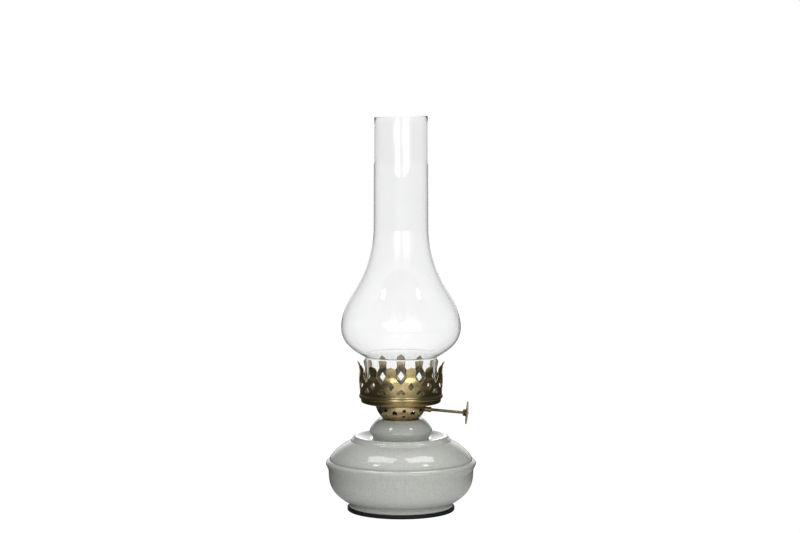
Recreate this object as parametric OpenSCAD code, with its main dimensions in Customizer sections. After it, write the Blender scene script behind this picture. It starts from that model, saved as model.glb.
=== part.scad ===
// Flat-wick oil lamp: glazed font, brass burner with a petal gallery, and a bulbous glass chimney.
// The lamp stands on z = 0 with its axis on Z. The knob points to +X and the flat wick lies along X.
// Millimetres.

/* [Base pad] */
// Radius of the pad under the foot
pad_r = 50.5; // [46:0.1:54]
// Thickness of the pad
pad_t = 3.6; // [2:0.1:5]
// Roundness of the pad's edges
pad_round = 0.7; // [0.3:0.1:1]

/* [Font] */
// Radius of the foot ring
foot_r = 48.9; // [46:0.1:50]
// Height of the foot ring
foot_h = 1.6; // [1:0.1:4]
// Wall of the font
font_wall = 4.0; // [3:0.1:5]
// Widest radius of the belly
belly_r = 68.1; // [62:0.5:74]
// Height of the rounded belly above the foot ring
belly_h = 30.8; // [24:0.2:40]
// Height of the cove from the belly up to the bead
cove_h = 6.6; // [5:0.1:10]
// Radius of the bead round the font
bead_r = 70.6; // [69:0.1:76]
// Height of the bead
bead_h = 5.7; // [4:0.1:8]
// How far the bead's top is set in
bead_step = 2.8; // [1:0.1:3]
// Height of the shoulder from the bead to the ledge
shoulder_h = 22.3; // [18:0.2:28]
// Radius of the ledge's rim
ledge_r = 44.4; // [40:0.2:48]
// How far the ledge dips towards the dome
ledge_dip = 2.8; // [1:0.1:4]
// Radius at the foot of the dome
waist_r = 26.4; // [25:0.1:28]
// Widest radius of the dome
dome_r = 29.4; // [28:0.1:32]
// Height of the dome above the ledge
dome_h = 15.9; // [12:0.1:18]
// Height of the dome's widest line above the ledge
dome_low_h = 4.6; // [3:0.1:6]
// Radius of the neck's lip
neck_r = 21.6; // [20:0.1:23]
// Height of the lip's rounded edge
lip_round = 0.8; // [0.4:0.1:1.2]
// Radius of the neck's bore
neck_bore_r = 16.2; // [15.8:0.1:17]

/* [Collar] */
// Radius of the collar's flange on the neck
flange_r = 17.2; // [16.8:0.1:18]
// Thickness of the collar's flange
flange_t = 1.0; // [0.6:0.1:1.5]
// Outer radius of the collar's sleeve
collar_r = 15.0; // [14.6:0.1:15.4]
// Wall of the collar's sleeve
collar_wall = 1.5; // [1:0.1:1.8]
// Length of the collar's sleeve below the flange
collar_l = 9.5; // [7:0.5:12]
// Height of the cement ring that holds the collar
cement_h = 7.0; // [5:0.5:9]

/* [Burner] */
// Sheet thickness of the burner's brass
sheet_t = 0.6; // [0.4:0.05:0.8]
// Wall of the screw skirt
skirt_wall = 0.9; // [0.7:0.1:1.1]
// Length of the screw skirt
skirt_l = 8.0; // [6:0.5:10]
// Radius of the basket's foot
basket_foot_r = 18.4; // [17.6:0.1:19]
// Radius of the basket's rim
basket_r = 23.7; // [22.5:0.1:25]
// Height of the basket's cone
cone_h = 11.0; // [9:0.2:14]
// Height of the plain band over the cone
band_h = 8.0; // [6:0.2:10]
// Number of repeats round the basket's piercing
basket_repeats = 8; // [6:1:10]
// Width of a large pierced heart in the basket
basket_heart_w = 4.8; // [3:0.1:5.4]
// Width of a small pierced diamond in the basket
basket_diamond_w = 3.0; // [2:0.1:3.4]
// Width of a small pierced triangle in the basket
basket_triangle_w = 3.2; // [2:0.1:4]
// Radius of the vent tube
vent_r = 1.5; // [1.2:0.1:1.8]

/* [Wick] */
// Width of the wick
wick_w = 20.0; // [16:0.5:20.5]
// Thickness of the wick
wick_t = 1.8; // [1.4:0.1:2.2]
// Height of the wick above its tube at rest
wick_show = 2.0; // [1:0.5:3]
// How far the wick can be wound down
wick_down = 12.0; // [8:1:14]
// Height of the wick tube above the basket's rim
tube_above = 9.0; // [6:0.5:11]
// Depth of the wick tube below the basket's floor
tube_below = 8.5; // [6:0.5:12]

/* [Spindle] */
// Radius of the spindle shaft
shaft_r = 1.4; // [1.1:0.1:1.6]
// Droop of the spindle towards its knob, in degrees
spindle_tilt = 5.2; // [0:0.1:6]
// Height of the spindle axis above the basket's foot, at the middle of the wick
spindle_up = 8.9; // [8.4:0.1:9.4]
// Radius of a wick wheel over its spikes
wheel_r = 4.5; // [4:0.1:4.8]
// Thickness of a wick wheel
wheel_t = 1.2; // [0.8:0.1:1.6]
// Spikes on a wick wheel
wheel_spikes = 14; // [10:1:18]
// Spacing of the wick wheels
wheel_pitch = 5.5; // [5:0.1:6]
// Outer radius of the spindle bush
bush_r = 2.35; // [2.1:0.05:2.6]
// Distance from the lamp's axis to the knob, along the spindle
knob_reach = 63.4; // [55:0.5:75]
// Radius of the knob's disc
knob_r = 10.8; // [9:0.1:13]
// Thickness of the knob's disc
knob_t = 1.0; // [0.8:0.1:1.4]
// How far the knob's disc is dished
knob_dish = 1.5; // [0.5:0.1:2.5]
// Radius of the knob's hub
hub_r = 3.6; // [3:0.1:4.5]
// Length of the knob's hub
hub_l = 3.8; // [3:0.1:5]

/* [Gallery] */
// Gap between the chimney's base and the gallery's rim
rim_gap = 4.2; // [3.6:0.1:6]
// Depth of the dish's curved underside
dish_h = 3.3; // [3:0.1:6]
// Height of the plain band between the dish and the crown
dish_band_h = 3.0; // [2:0.1:4]
// Sheet thickness of the crown
crown_t = 0.5; // [0.4:0.05:0.7]
// Height of the crown's bead
crown_bead_h = 4.7; // [4:0.1:8]
// Height of the bead's widest line
crown_crest_h = 1.7; // [1:0.1:4]
// How far the crown's bead stands out
crown_bead_out = 1.2; // [0.8:0.1:2]
// Height of the crown's wall above its bead
crown_wall_h = 16.8; // [14:0.1:20]
// How far the crown's wall leans out
crown_lean = 0.8; // [0:0.1:2]
// Height of the curled tips
tip_h = 11.6; // [10:0.1:16]
// How far the tips curl out
tip_out = 2.3; // [1:0.1:3]
// Number of petals
petals = 13; // [10:1:16]
// Direction of the first petal from the front, in degrees
petal_start = 13.85; // [0:0.05:30]
// Width of a petal's waist
petal_waist = 7.3; // [6:0.1:8]
// Width of a petal's head
petal_head = 9.1; // [7:0.1:10]
// Height from the crown's wall top down to the notch's foot
notch_depth = 5.0; // [3:0.1:7]
// Width of a diamond in the crown
diamond_w = 6.5; // [5:0.1:8]
// Height of a diamond in the crown
diamond_h = 8.8; // [6:0.1:9.4]
// Width of a heart in the crown
heart_w = 8.2; // [5:0.1:8.6]
// Height of the dish's lowest line above the basket's cone
dish_drop = 1.3; // [0.5:0.1:2]
// Thickness of the air plate that carries the chimney
plate_t = 0.7; // [0.5:0.05:1]
// Height of the lip that centres the chimney
lip_h = 3.0; // [2:0.1:4]
// Radius of an air hole in the plate
air_hole_r = 0.9; // [0.7:0.05:1.1]
// Radius of the flame dome at its foot
flame_dome_r = 21.0; // [19:0.2:22]
// Height of the flame dome
flame_dome_h = 14.6; // [13:0.2:18]
// Width of the flame slot
slot_w = 25.0; // [24:0.2:28]
// Opening of the flame slot
slot_t = 7.6; // [6:0.2:9]
// Height of the line where the springs bear on the glass, above their feet
spring_grip_h = 8.4; // [6:0.2:12]
// Length of a spring's free end above that line
spring_lead_h = 3.0; // [2:0.2:5]
// Width of a chimney spring
spring_w = 6.0; // [4:0.5:8]
// Thickness of a chimney spring
spring_t = 0.4; // [0.3:0.05:0.5]
// Number of chimney springs
springs = 4; // [3:1:6]

/* [Chimney] */
// Thickness of the glass
glass_t = 2.2; // [1.6:0.1:2.6]
// Radius of the chimney's base
glass_base_r = 33.4; // [33:0.1:34]
// Height of the straight base below the shoulder
glass_base_h = 36.0; // [34:0.1:44]
// Widest radius of the bulb
bulb_r = 56.1; // [50:0.1:62]
// Height from the shoulder to the widest part of the bulb
bulb_low_h = 29.5; // [24:0.5:36]
// Height from the widest part to the waist of the bulb
bulb_high_h = 33.5; // [26:0.5:40]
// Radius where the bulb turns into the flue's flare
flare_r = 43.8; // [40:0.5:48]
// Height of the flare up to the flue
flare_h = 59.7; // [50:0.5:70]
// Radius of the flue at its foot
flue_r = 25.5; // [23:0.1:28]
// Radius of the flue at its mouth
mouth_r = 25.1; // [23:0.1:28]
// Height of the flue above the flare
flue_h = 104.0; // [80:1:130]

/* [Fits] */
// Gap between a piece and the flat seat it rests on
seat_gap = 0.1; // [0.05:0.05:0.3]
// Gap round a piece that slips into another
slip_gap = 0.3; // [0.2:0.05:0.5]
// Running clearance of the spindle in its bearings
shaft_gap = 0.05; // [0.02:0.01:0.1]

/* [Hidden] */

$fn = 96;
steps = 10;             // straight pieces in one curve of an outline
eps = 0.02;             // how far a cut runs past a face
wall_cut = 12;          // how far a piercing reaches across a sheet wall

// Heights of the font, from the pad upwards
z_foot = pad_t;
z_crease = z_foot + foot_h;
z_belly = z_crease + belly_h;
z_bead = z_belly + cove_h;
z_shoulder = z_bead + bead_h;
z_ledge = z_shoulder + shoulder_h;
z_dome = z_ledge + dome_low_h;
z_neck = z_ledge + dome_h;
fillet = [2.7, -5.1];   // from the ledge's rim to the end of the shoulder

// Heights of the burner
z_burner = z_neck + flange_t;
z_cone = z_burner + cone_h;
z_rim = z_cone + band_h;
z_tube_top = z_rim + tube_above;
z_tube_foot = z_burner - tube_below;
floor_r = basket_foot_r - 3.2 * sheet_t;

// Heights of the gallery
z_plate = z_rim + seat_gap;
z_deck = z_plate + plate_t;
z_dish = z_cone + dish_drop;
z_ring = z_dish + dish_h;
z_crown = z_ring + dish_band_h;
z_wall = z_crown + crown_bead_h;
z_flare = z_wall + crown_wall_h;
z_tip = z_flare + tip_h;
dish_bore_r = basket_r + slip_gap;
rim_r = glass_base_r + rim_gap;
band_r = rim_r + crown_t;
pitch = 360 / petals;

// Heights of the chimney
z_glass = z_deck + seat_gap;
z_neck_in = z_glass + glass_base_h;
z_bulb = z_neck_in + bulb_low_h;
z_waist = z_bulb + bulb_high_h;
z_flue = z_waist + flare_h;
z_mouth = z_flue + flue_h;

// Wick, tube and spindle
tube_in_w = wick_w + 2 * slip_gap;
tube_in_t = wick_t + 2 * slip_gap;
tube_out_w = tube_in_w + 2 * sheet_t;
tube_out_t = tube_in_t + 2 * sheet_t;
skirt_r = collar_r - collar_wall - slip_gap;
z_wick_top = z_tube_top + wick_show;
z_wick_tail = z_foot + font_wall + wick_down + slip_gap;
spindle_y = wick_t / 2 + slip_gap + wheel_r;
spindle_z = z_burner + spindle_up;
wheel_span = 2 * wheel_pitch + wheel_t;
cheek_gap = 1.0;
housing_w = wheel_span + 2 * cheek_gap + 2 * sheet_t;
housing_h = 2 * (wheel_r + cheek_gap);
housing_depth = spindle_y + wheel_r + cheek_gap + sheet_t - tube_out_t / 2;
washer_t = 0.5;
bush_l = 7.0;
bush_inset = 4.0;
bush_start = sqrt(pow(basket_r, 2) - pow(spindle_y, 2)) - 2.2;

// Handles of the curves: shares of the step from one end to the other
belly_curve = [[0.36, 0.27], [0, 0.69]];
cove_curve = [[0, 0.4], [0.5, 0.3]];
shoulder_curve = [[0.27, 0.41], [0.54, 0.34]];
fillet_curve = [[0.2, 0.5], [0, 0.2]];
ledge_curve = [[0.4, 0.1], [0.4, 0]];
under_curve = [[0.15, 0.3], [0.05, 0.4]];
dome_curve = [[0, 0.23], [0.34, 0.15]];
round_curve = [[0, 0.55], [0.55, 0]];
cone_curve = [[0.4, 0.3], [0.2, 0.4]];
dish_curve = [[0.37, 0.44], [0, 0.66]];
lean_curve = [[0.2, 0.4], [0.2, 0.4]];
tip_curve = [[0.1, 0.45], [0.35, 0.3]];
bulb_low_curve = [[0.43, 0.22], [0, 0.55]];
bulb_high_curve = [[0, 0.46], [0.01, 0.01]];
flare_curve = [[0.56, 0.27], [0, 0.4]];

// ---- Outlines ----

function each_by(u, v) = [u.x * v.x, u.y * v.y];
function unit(v) = v / norm(v);
function flip(p) = [for (i = [len(p) - 1:-1:0]) p[i]];

// Points of a cubic curve from a to b; h holds the leaving and the arriving handle
function curve(a, b, h, n = steps) =
    let (d = b - a, p = a + each_by(h[0], d), q = b - each_by(h[1], d))
    [for (i = [0:n]) let (t = i / n, s = 1 - t)
        s * s * s * a + 3 * s * s * t * p + 3 * s * t * t * q + t * t * t * b];

// Normal on the left of an outline at point i
function left(p, i) =
    let (d = unit(p[min(i + 1, len(p) - 1)] - p[max(i - 1, 0)]))
    [-d.y, d.x];

// An outline without the doubled points where two curves meet
function single(p) = [for (i = [0:len(p) - 1]) if (i == 0 || norm(p[i] - p[i - 1]) > eps) p[i]];

// A sheet of thickness t on the left of an open outline
function sheet(outline, t) =
    let (p = single(outline))
    concat(p, flip([for (i = [0:len(p) - 1]) p[i] + t * left(p, i)]));

// Turns a sheet's outline round the lamp's axis
module spun(p, t) {
    rotate_extrude() polygon(sheet(p, t));
}

// A ring between two radii
module ring(r_out, r_in, h) {
    difference() {
        cylinder(r = r_out, h = h);
        translate([0, 0, -eps]) cylinder(r = r_in, h = h + 2 * eps);
    }
}

// A flat bar with round edges, upright on its end
module bar(w, t, h) {
    linear_extrude(h) {
        square([w - t, t], center = true);
        for (side = [-1, 1]) translate([side * (w - t) / 2, 0]) circle(d = t, $fn = 32);
    }
}

// Cuts outlines drawn as [across, height] through a wall that faces the direction given by angle
module pierce(angle, r) {
    rotate([0, 0, angle]) rotate([90, 0, 0]) translate([0, 0, r - wall_cut / 2])
        linear_extrude(wall_cut) children();
}

module diamond(w, h) {
    polygon([[0, -h / 2], [w / 2, 0], [0, h / 2], [-w / 2, 0]]);
}

// A heart with its point up, centred on its widest line
module heart(w) {
    lobe = w * 0.27;
    polygon([[-w * 0.49, w * 0.06], [-w * 0.23, w * 0.24], [0, w * 0.48], [w * 0.23, w * 0.24],
        [w * 0.49, w * 0.06], [0, -w * 0.1]]);
    for (side = [-1, 1]) translate([side * (w / 2 - lobe), 0]) circle(r = lobe, $fn = 24);
}

// Puts children in the spindle's own frame: its axis is +Z, towards the knob
module on_spindle(along = 0) {
    translate([0, spindle_y, spindle_z]) rotate([0, 90 + spindle_tilt, 0])
        translate([0, 0, along]) children();
}

// ---- Font ----

function font_outside() = concat(
    [[0, z_foot], [foot_r, z_foot]],
    curve([foot_r - 0.4, z_crease], [belly_r, z_belly], belly_curve),
    curve([belly_r, z_belly], [bead_r - 0.6, z_bead], cove_curve, 5),
    curve([bead_r - 0.6, z_bead], [bead_r, z_bead + bead_h * 0.3], [[0.8, 0.3], [0, 0.5]], 4),
    curve([bead_r, z_bead + bead_h * 0.3], [bead_r - bead_step, z_shoulder], [[0, 0.5], [0.4, 0.3]], 5),
    curve([bead_r - bead_step - 0.3, z_shoulder], [ledge_r, z_ledge] + fillet, shoulder_curve),
    curve([ledge_r, z_ledge] + fillet, [ledge_r, z_ledge - 1], fillet_curve, 5),
    curve([ledge_r, z_ledge - 1], [ledge_r - 1.4, z_ledge], round_curve, 4),
    curve([ledge_r - 1.4, z_ledge], [waist_r, z_ledge - ledge_dip], ledge_curve, 6),
    curve([waist_r, z_ledge - ledge_dip], [dome_r, z_dome], under_curve, 5),
    curve([dome_r, z_dome], [neck_r, z_neck - lip_round], dome_curve),
    curve([neck_r, z_neck - lip_round], [neck_r - 2.5 * lip_round, z_neck], round_curve, 4)
);

function font_inside() = concat(
    [[neck_bore_r, z_neck]],
    curve([neck_bore_r, z_neck - cement_h], [dome_r - font_wall, z_dome - 1], flipped(dome_curve), 6),
    curve([waist_r - font_wall, z_ledge - ledge_dip - 1], [ledge_r - font_wall, z_ledge - font_wall - 1.4],
        ledge_curve, 4),
    curve([ledge_r - font_wall, z_ledge - font_wall - 1] + fillet, [bead_r - bead_step - font_wall, z_shoulder - 2],
        flipped(shoulder_curve), 6),
    [[bead_r - bead_step - font_wall, z_bead + 1]],
    curve([belly_r - font_wall, z_belly], [foot_r - 2.4, z_foot + font_wall], flipped(belly_curve)),
    [[0, z_foot + font_wall]]
);

function flipped(h) = [h[1], h[0]];

module base_pad() {
    color("#1d2326") rotate_extrude() polygon(concat(
        [[0, 0]],
        curve([pad_r - pad_round, 0], [pad_r, pad_round], flipped(round_curve), 4),
        curve([pad_r, pad_t - pad_round], [pad_r - pad_round, pad_t], round_curve, 4),
        [[0, pad_t]]
    ));
}

module font() {
    color("#a3a7a1") rotate_extrude() polygon(concat(font_outside(), font_inside()));
}

module collar_cement() {
    color("#d8d2c4") translate([0, 0, z_neck - cement_h]) ring(neck_bore_r, collar_r, cement_h);
}

module collar() {
    bore_r = collar_r - collar_wall;
    color("#9c8147") {
        translate([0, 0, z_neck]) ring(flange_r, bore_r, flange_t);
        translate([0, 0, z_neck - collar_l]) ring(collar_r, bore_r, collar_l + eps);
    }
}

// ---- Burner ----

module burner_skirt() {
    color("#94793f") translate([0, 0, z_burner - skirt_l]) ring(skirt_r, skirt_r - skirt_wall, skirt_l);
}

function basket_outline() = concat(
    [[skirt_r - skirt_wall, z_burner]],
    curve([basket_foot_r - 1.2, z_burner], [basket_foot_r, z_burner + 0.7], [[0.5, 0], [0.2, 0.4]], 4),
    curve([basket_foot_r, z_burner + 0.7], [basket_r, z_cone], cone_curve, 8),
    [[basket_r, z_rim]]
);

module burner_basket() {
    turn = 360 / basket_repeats;
    z_heart = z_burner + cone_h * 0.52;
    z_diamond = z_burner + cone_h * 0.68;
    z_triangle = z_burner + cone_h * 0.24;
    color("#9c8147") difference() {
        spun(basket_outline(), sheet_t);
        for (i = [0:basket_repeats - 1]) {
            pierce((i - 1 / 3) * turn, basket_r) translate([0, z_heart]) heart(basket_heart_w);
            pierce((i + 1 / 6) * turn, basket_r) translate([0, z_diamond])
                diamond(basket_diamond_w, basket_diamond_w * 1.15);
            pierce((i + 1 / 6) * turn, basket_foot_r + 2) translate([0, z_triangle])
                polygon([[0, -basket_triangle_w * 0.35], [basket_triangle_w / 2, basket_triangle_w * 0.25],
                    [-basket_triangle_w / 2, basket_triangle_w * 0.25]]);
        }
        on_spindle(bush_start - bush_inset) cylinder(r = bush_r, h = wall_cut, $fn = 48);
    }
}

// Closes the basket's foot; the wick tube and the vent tube pass through it
module basket_floor() {
    color("#94793f") difference() {
        translate([0, 0, z_burner + sheet_t]) cylinder(r = floor_r, h = sheet_t);
        translate([0, 0, z_burner]) bar(tube_out_w, tube_out_t, 3 * sheet_t);
        translate([0, vent_y(), z_burner]) cylinder(r = vent_r, h = 3 * sheet_t, $fn = 48);
    }
}

function vent_y() = -(tube_out_t / 2 + vent_r + 3);

module vent_tube() {
    color("#94793f") translate([0, vent_y(), z_burner - skirt_l / 2])
        difference() {
            cylinder(r = vent_r, h = skirt_l, $fn = 48);
            translate([0, 0, -eps]) cylinder(r = vent_r - 0.4, h = skirt_l + 2 * eps, $fn = 48);
        }
}

module wick_tube() {
    color("#a8894a") difference() {
        translate([0, 0, z_tube_foot]) bar(tube_out_w, tube_out_t, z_tube_top - z_tube_foot);
        translate([0, 0, z_tube_foot - eps]) bar(tube_in_w, tube_in_t, z_tube_top - z_tube_foot + 2 * eps);
        // windows where the wheels reach the wick
        for (i = [-1:1]) on_spindle(i * wheel_pitch - wheel_t / 2 - slip_gap)
            cylinder(r = wheel_r + slip_gap, h = wheel_t + 2 * slip_gap, $fn = 64);
    }
}

// U-shaped bracket on the wick tube; its cheeks carry the spindle
module wheel_housing() {
    inside_w = housing_w - 2 * sheet_t;
    color("#94793f") difference() {
        translate([-housing_w / 2, tube_out_t / 2, spindle_z - housing_h / 2])
            cube([housing_w, housing_depth, housing_h]);
        translate([-inside_w / 2, tube_out_t / 2 - eps, spindle_z - housing_h / 2 - eps])
            cube([inside_w, housing_depth - sheet_t + eps, housing_h + 2 * eps]);
        on_spindle(-housing_w) cylinder(r = shaft_r + shaft_gap, h = 2 * housing_w, $fn = 48);
    }
}

module spindle_bush() {
    color("#a8894a") on_spindle(bush_start) difference() {
        union() {
            cylinder(r = bush_r, h = bush_l, $fn = 48);
            translate([0, 0, bush_l - 2.4]) cylinder(r = bush_r + 0.35, h = 1.6, $fn = 48);
        }
        translate([0, 0, -eps]) cylinder(r = shaft_r + shaft_gap, h = bush_l + 2 * eps, $fn = 48);
    }
}

// ---- Spindle ----

module spindle_shaft() {
    start = -(housing_w / 2 + 2 * washer_t + slip_gap);
    color("#8f7440") on_spindle(start) cylinder(r = shaft_r, h = knob_reach - start + 1.2, $fn = 48);
}

// Keeps the shaft from sliding out of the housing
module spindle_washer() {
    color("#8f7440") on_spindle(-(housing_w / 2 + slip_gap + washer_t))
        ring(shaft_r + 1.2, shaft_r, washer_t, $fn = 48);
}

module wick_wheel(place) {
    root_r = wheel_r * 0.74;
    step = 360 / wheel_spikes;
    color("#b09257") on_spindle(place * wheel_pitch - wheel_t / 2) difference() {
        linear_extrude(wheel_t) polygon([for (i = [0:wheel_spikes - 1], k = [0, 1])
            let (a = (i + k / 2) * step, r = k == 0 ? wheel_r : root_r) r * [cos(a), sin(a)]]);
        translate([0, 0, -eps]) cylinder(r = shaft_r, h = wheel_t + 2 * eps, $fn = 48);
    }
}

module wick_wheel_1() { wick_wheel(-1); }
module wick_wheel_2() { wick_wheel(0); }
module wick_wheel_3() { wick_wheel(1); }

// The outer face of the knob: flat over the hub, then dished towards the rim
function knob_outline() = concat(
    [[shaft_r, 0]],
    curve([hub_r + 0.2, 0], [knob_r, -knob_dish], [[0.5, 0], [0.3, 0.3]], 8)
);

// The two beads of the hub are turned in one piece
module knob_hub() {
    bead = hub_l / 4;
    color("#6e5730") on_spindle(knob_reach - knob_t - hub_l) difference() {
        rotate_extrude($fn = 64) polygon(concat(
            [[shaft_r, 0]],
            [for (i = [0:6]) let (a = -90 + 30 * i)
                [hub_r - 0.9 + 0.5 * bead * cos(a), bead + bead * sin(a)]],
            [for (i = [0:6]) let (a = -90 + 30 * i)
                [hub_r - bead * 0.6 + 0.6 * bead * cos(a), 3 * bead + bead * sin(a)]],
            [[shaft_r, hub_l]]
        ));
        translate([0, 0, -eps]) cylinder(r = shaft_r, h = hub_l + 2 * eps, $fn = 48);
    }
}

module knob_disc() {
    color("#8c8a76") on_spindle(knob_reach) rotate_extrude() polygon(sheet(knob_outline(), -knob_t));
}

// ---- Wick ----

module wick() {
    color("#ece6d6") translate([0, 0, z_wick_tail]) bar(wick_w, wick_t, z_wick_top - z_wick_tail);
}

// ---- Gallery ----

function dish_outline() = concat(
    [[dish_bore_r, z_ring], [dish_bore_r, z_dish + 0.8]],
    curve([dish_bore_r + 0.8, z_dish], [rim_r + 0.1, z_ring], dish_curve, 8),
    [[rim_r, z_ring + 1.2], [rim_r, z_crown + crown_bead_h * 0.8]]
);

module gallery_dish() {
    color("#9c8147") spun(dish_outline(), sheet_t);
}

function crown_outline() = concat(
    curve([band_r, z_crown], [band_r + crown_bead_out, z_crown + crown_crest_h], [[0.6, 0.2], [0, 0.5]], 5),
    curve([band_r + crown_bead_out, z_crown + crown_crest_h], [band_r + 0.4, z_wall], [[0, 0.5], [0.7, 0.2]], 5),
    curve([band_r + 0.4, z_wall], [band_r + 0.4 + crown_lean, z_flare], lean_curve, 4),
    curve([band_r + 0.4 + crown_lean, z_flare], [band_r + 0.4 + crown_lean + tip_out, z_tip], tip_curve, 6)
);

// Half the width of a petal at height z, from the notch's foot to the tip
function petal_half(z, half_pitch) =
    let (z_notch = z_flare - notch_depth, z_narrow = z_flare + tip_h * 0.2, z_wide = z_flare + tip_h * 0.62)
    z < z_narrow ? let (u = (z - z_notch) / (z_narrow - z_notch)) half_pitch + (petal_waist / 2 - half_pitch) * u
    : z < z_wide ? let (u = (z - z_narrow) / (z_wide - z_narrow))
        petal_waist / 2 + (petal_head - petal_waist) / 2 * u * u * (3 - 2 * u)
    : let (u = (z - z_wide) / (z_tip - z_wide)) petal_head / 2 * pow(max(1 - u * u, 0), 0.75);

// The opening between two petals
module notch() {
    half_pitch = (band_r + crown_lean + tip_out / 2) * sin(pitch / 2);
    z_notch = z_flare - notch_depth;
    z_over = z_tip + 2;
    edge = [for (i = [0:14]) let (z = z_notch + (z_tip - z_notch) * i / 14)
        [half_pitch - petal_half(z, half_pitch), z]];
    polygon(concat(
        edge,
        [[half_pitch + 1, z_tip], [half_pitch + 1, z_over], [-half_pitch - 1, z_over], [-half_pitch - 1, z_tip]],
        flip([for (i = [1:14]) [-edge[i].x, edge[i].y]])
    ));
}

module gallery_crown() {
    z_diamond = z_flare - 7;
    z_heart = z_wall + 3.6;
    color("#a0854a") difference() {
        spun(crown_outline(), crown_t);
        for (i = [0:petals - 1]) {
            pierce(petal_start + i * pitch, band_r) translate([0, z_diamond]) diamond(diamond_w, diamond_h);
            pierce(petal_start + (i + 0.5) * pitch, band_r) {
                notch();
                translate([0, z_heart]) heart(heart_w);
            }
        }
    }
}

// Perforated plate: it rests on the basket, carries the flame dome and seats the chimney
module air_plate() {
    lip_r = glass_base_r - glass_t - 0.6;
    edge_r = rim_r - sheet_t;
    color("#8f7440") difference() {
        union() {
            translate([0, 0, z_plate]) cylinder(r = edge_r, h = plate_t);
            translate([0, 0, z_deck - eps]) ring(lip_r, lip_r - sheet_t, lip_h);
        }
        translate([0, 0, z_plate - 1]) bar(tube_out_w + 2 * slip_gap, tube_out_t + 2 * slip_gap, plate_t + 2);
        for (row = [[0.63, 24], [0.82, 30], [1.25, 40]], i = [0:row[1] - 1])
            rotate([0, 0, 360 / row[1] * (i + 0.5)]) translate([row[0] * flame_dome_r, 0, z_plate - 1])
                cylinder(r = air_hole_r, h = plate_t + 2, $fn = 24);
    }
}

// A quarter of an ellipse from the dome's foot to its crown, set in by the given distance
function dome_outline(inset) = [for (i = [0:9]) let (a = 10 * i)
    [(flame_dome_r - inset) * cos(a), z_deck + (flame_dome_h - inset) * sin(a)]];

module flame_dome() {
    color("#a8894a") difference() {
        union() {
            translate([0, 0, z_deck]) ring(flame_dome_r + 2, flame_dome_r - sheet_t / 2, sheet_t);
            rotate_extrude() polygon(concat(dome_outline(0), flip(dome_outline(sheet_t))));
        }
        translate([0, 0, z_deck + flame_dome_h / 3]) bar(slot_w, slot_t, flame_dome_h);
    }
}

// Leaf springs inside the dish's rim: each bears on the glass half way up
function spring_outline() =
    let (rim_in = rim_r - sheet_t, out_r = sqrt(pow(rim_in, 2) - pow(spring_w / 2, 2)) - spring_t,
        in_r = glass_base_r + slip_gap, z_feet = z_deck + seat_gap)
    concat(
        [[out_r, z_feet]],
        curve([out_r, z_feet + spring_grip_h * 0.3], [in_r, z_feet + spring_grip_h], [[0, 0.5], [0, 0.5]], 5),
        curve([in_r, z_feet + spring_grip_h], [in_r + spring_lead_h / 2, z_feet + spring_grip_h + spring_lead_h],
            [[0, 0.5], [0.4, 0.3]], 3)
    );

module chimney_springs() {
    outline = spring_outline();
    color("#94793f") for (i = [0:springs - 1]) rotate([0, 0, 360 / springs * (i + 0.5)])
        rotate([90, 0, 0]) translate([0, 0, -spring_w / 2])
            linear_extrude(spring_w) polygon(sheet(outline, -spring_t));
}

// ---- Chimney ----

function chimney_outline() = concat(
    [[glass_base_r, z_glass], [glass_base_r, z_neck_in - 1.6]],
    curve([glass_base_r, z_neck_in - 1], [glass_base_r + 2, z_neck_in + 1.2], [[0, 0.4], [0.5, 0.2]], 4),
    curve([glass_base_r + 2.6, z_neck_in + 1.6], [bulb_r, z_bulb], bulb_low_curve, 16),
    curve([bulb_r, z_bulb], [flare_r, z_waist], bulb_high_curve),
    curve([flare_r, z_waist], [flue_r, z_flue], flare_curve, 16),
    [[mouth_r, z_mouth]]
);

module chimney() {
    color("#dfe6e6", 0.35) spun(chimney_outline(), glass_t);
}

base_pad();
font();
collar_cement();
collar();
burner_skirt();
burner_basket();
basket_floor();
vent_tube();
wick_tube();
wheel_housing();
spindle_bush();
spindle_shaft();
spindle_washer();
wick_wheel_1();
wick_wheel_2();
wick_wheel_3();
knob_hub();
knob_disc();
wick();
gallery_dish();
gallery_crown();
air_plate();
flame_dome();
chimney_springs();
chimney();
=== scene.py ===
# %% [markdown]
# # A flat-wick oil lamp
#
# The lamp is a glazed font that holds the oil, a pierced brass burner that screws into it,
# a gallery with a crown of petals, and a blown glass chimney. Most of it is turned or spun
# on a lathe, so most pieces here start as an outline that is carried round the Z axis.
# The engineering model comes first, as a fixed frame. Every piece built below takes its
# place from that frame and rides on one of its bodies.

# %% The frame
import math

import bmesh
import bpy
from mathutils import Matrix, Vector, geometry


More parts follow.
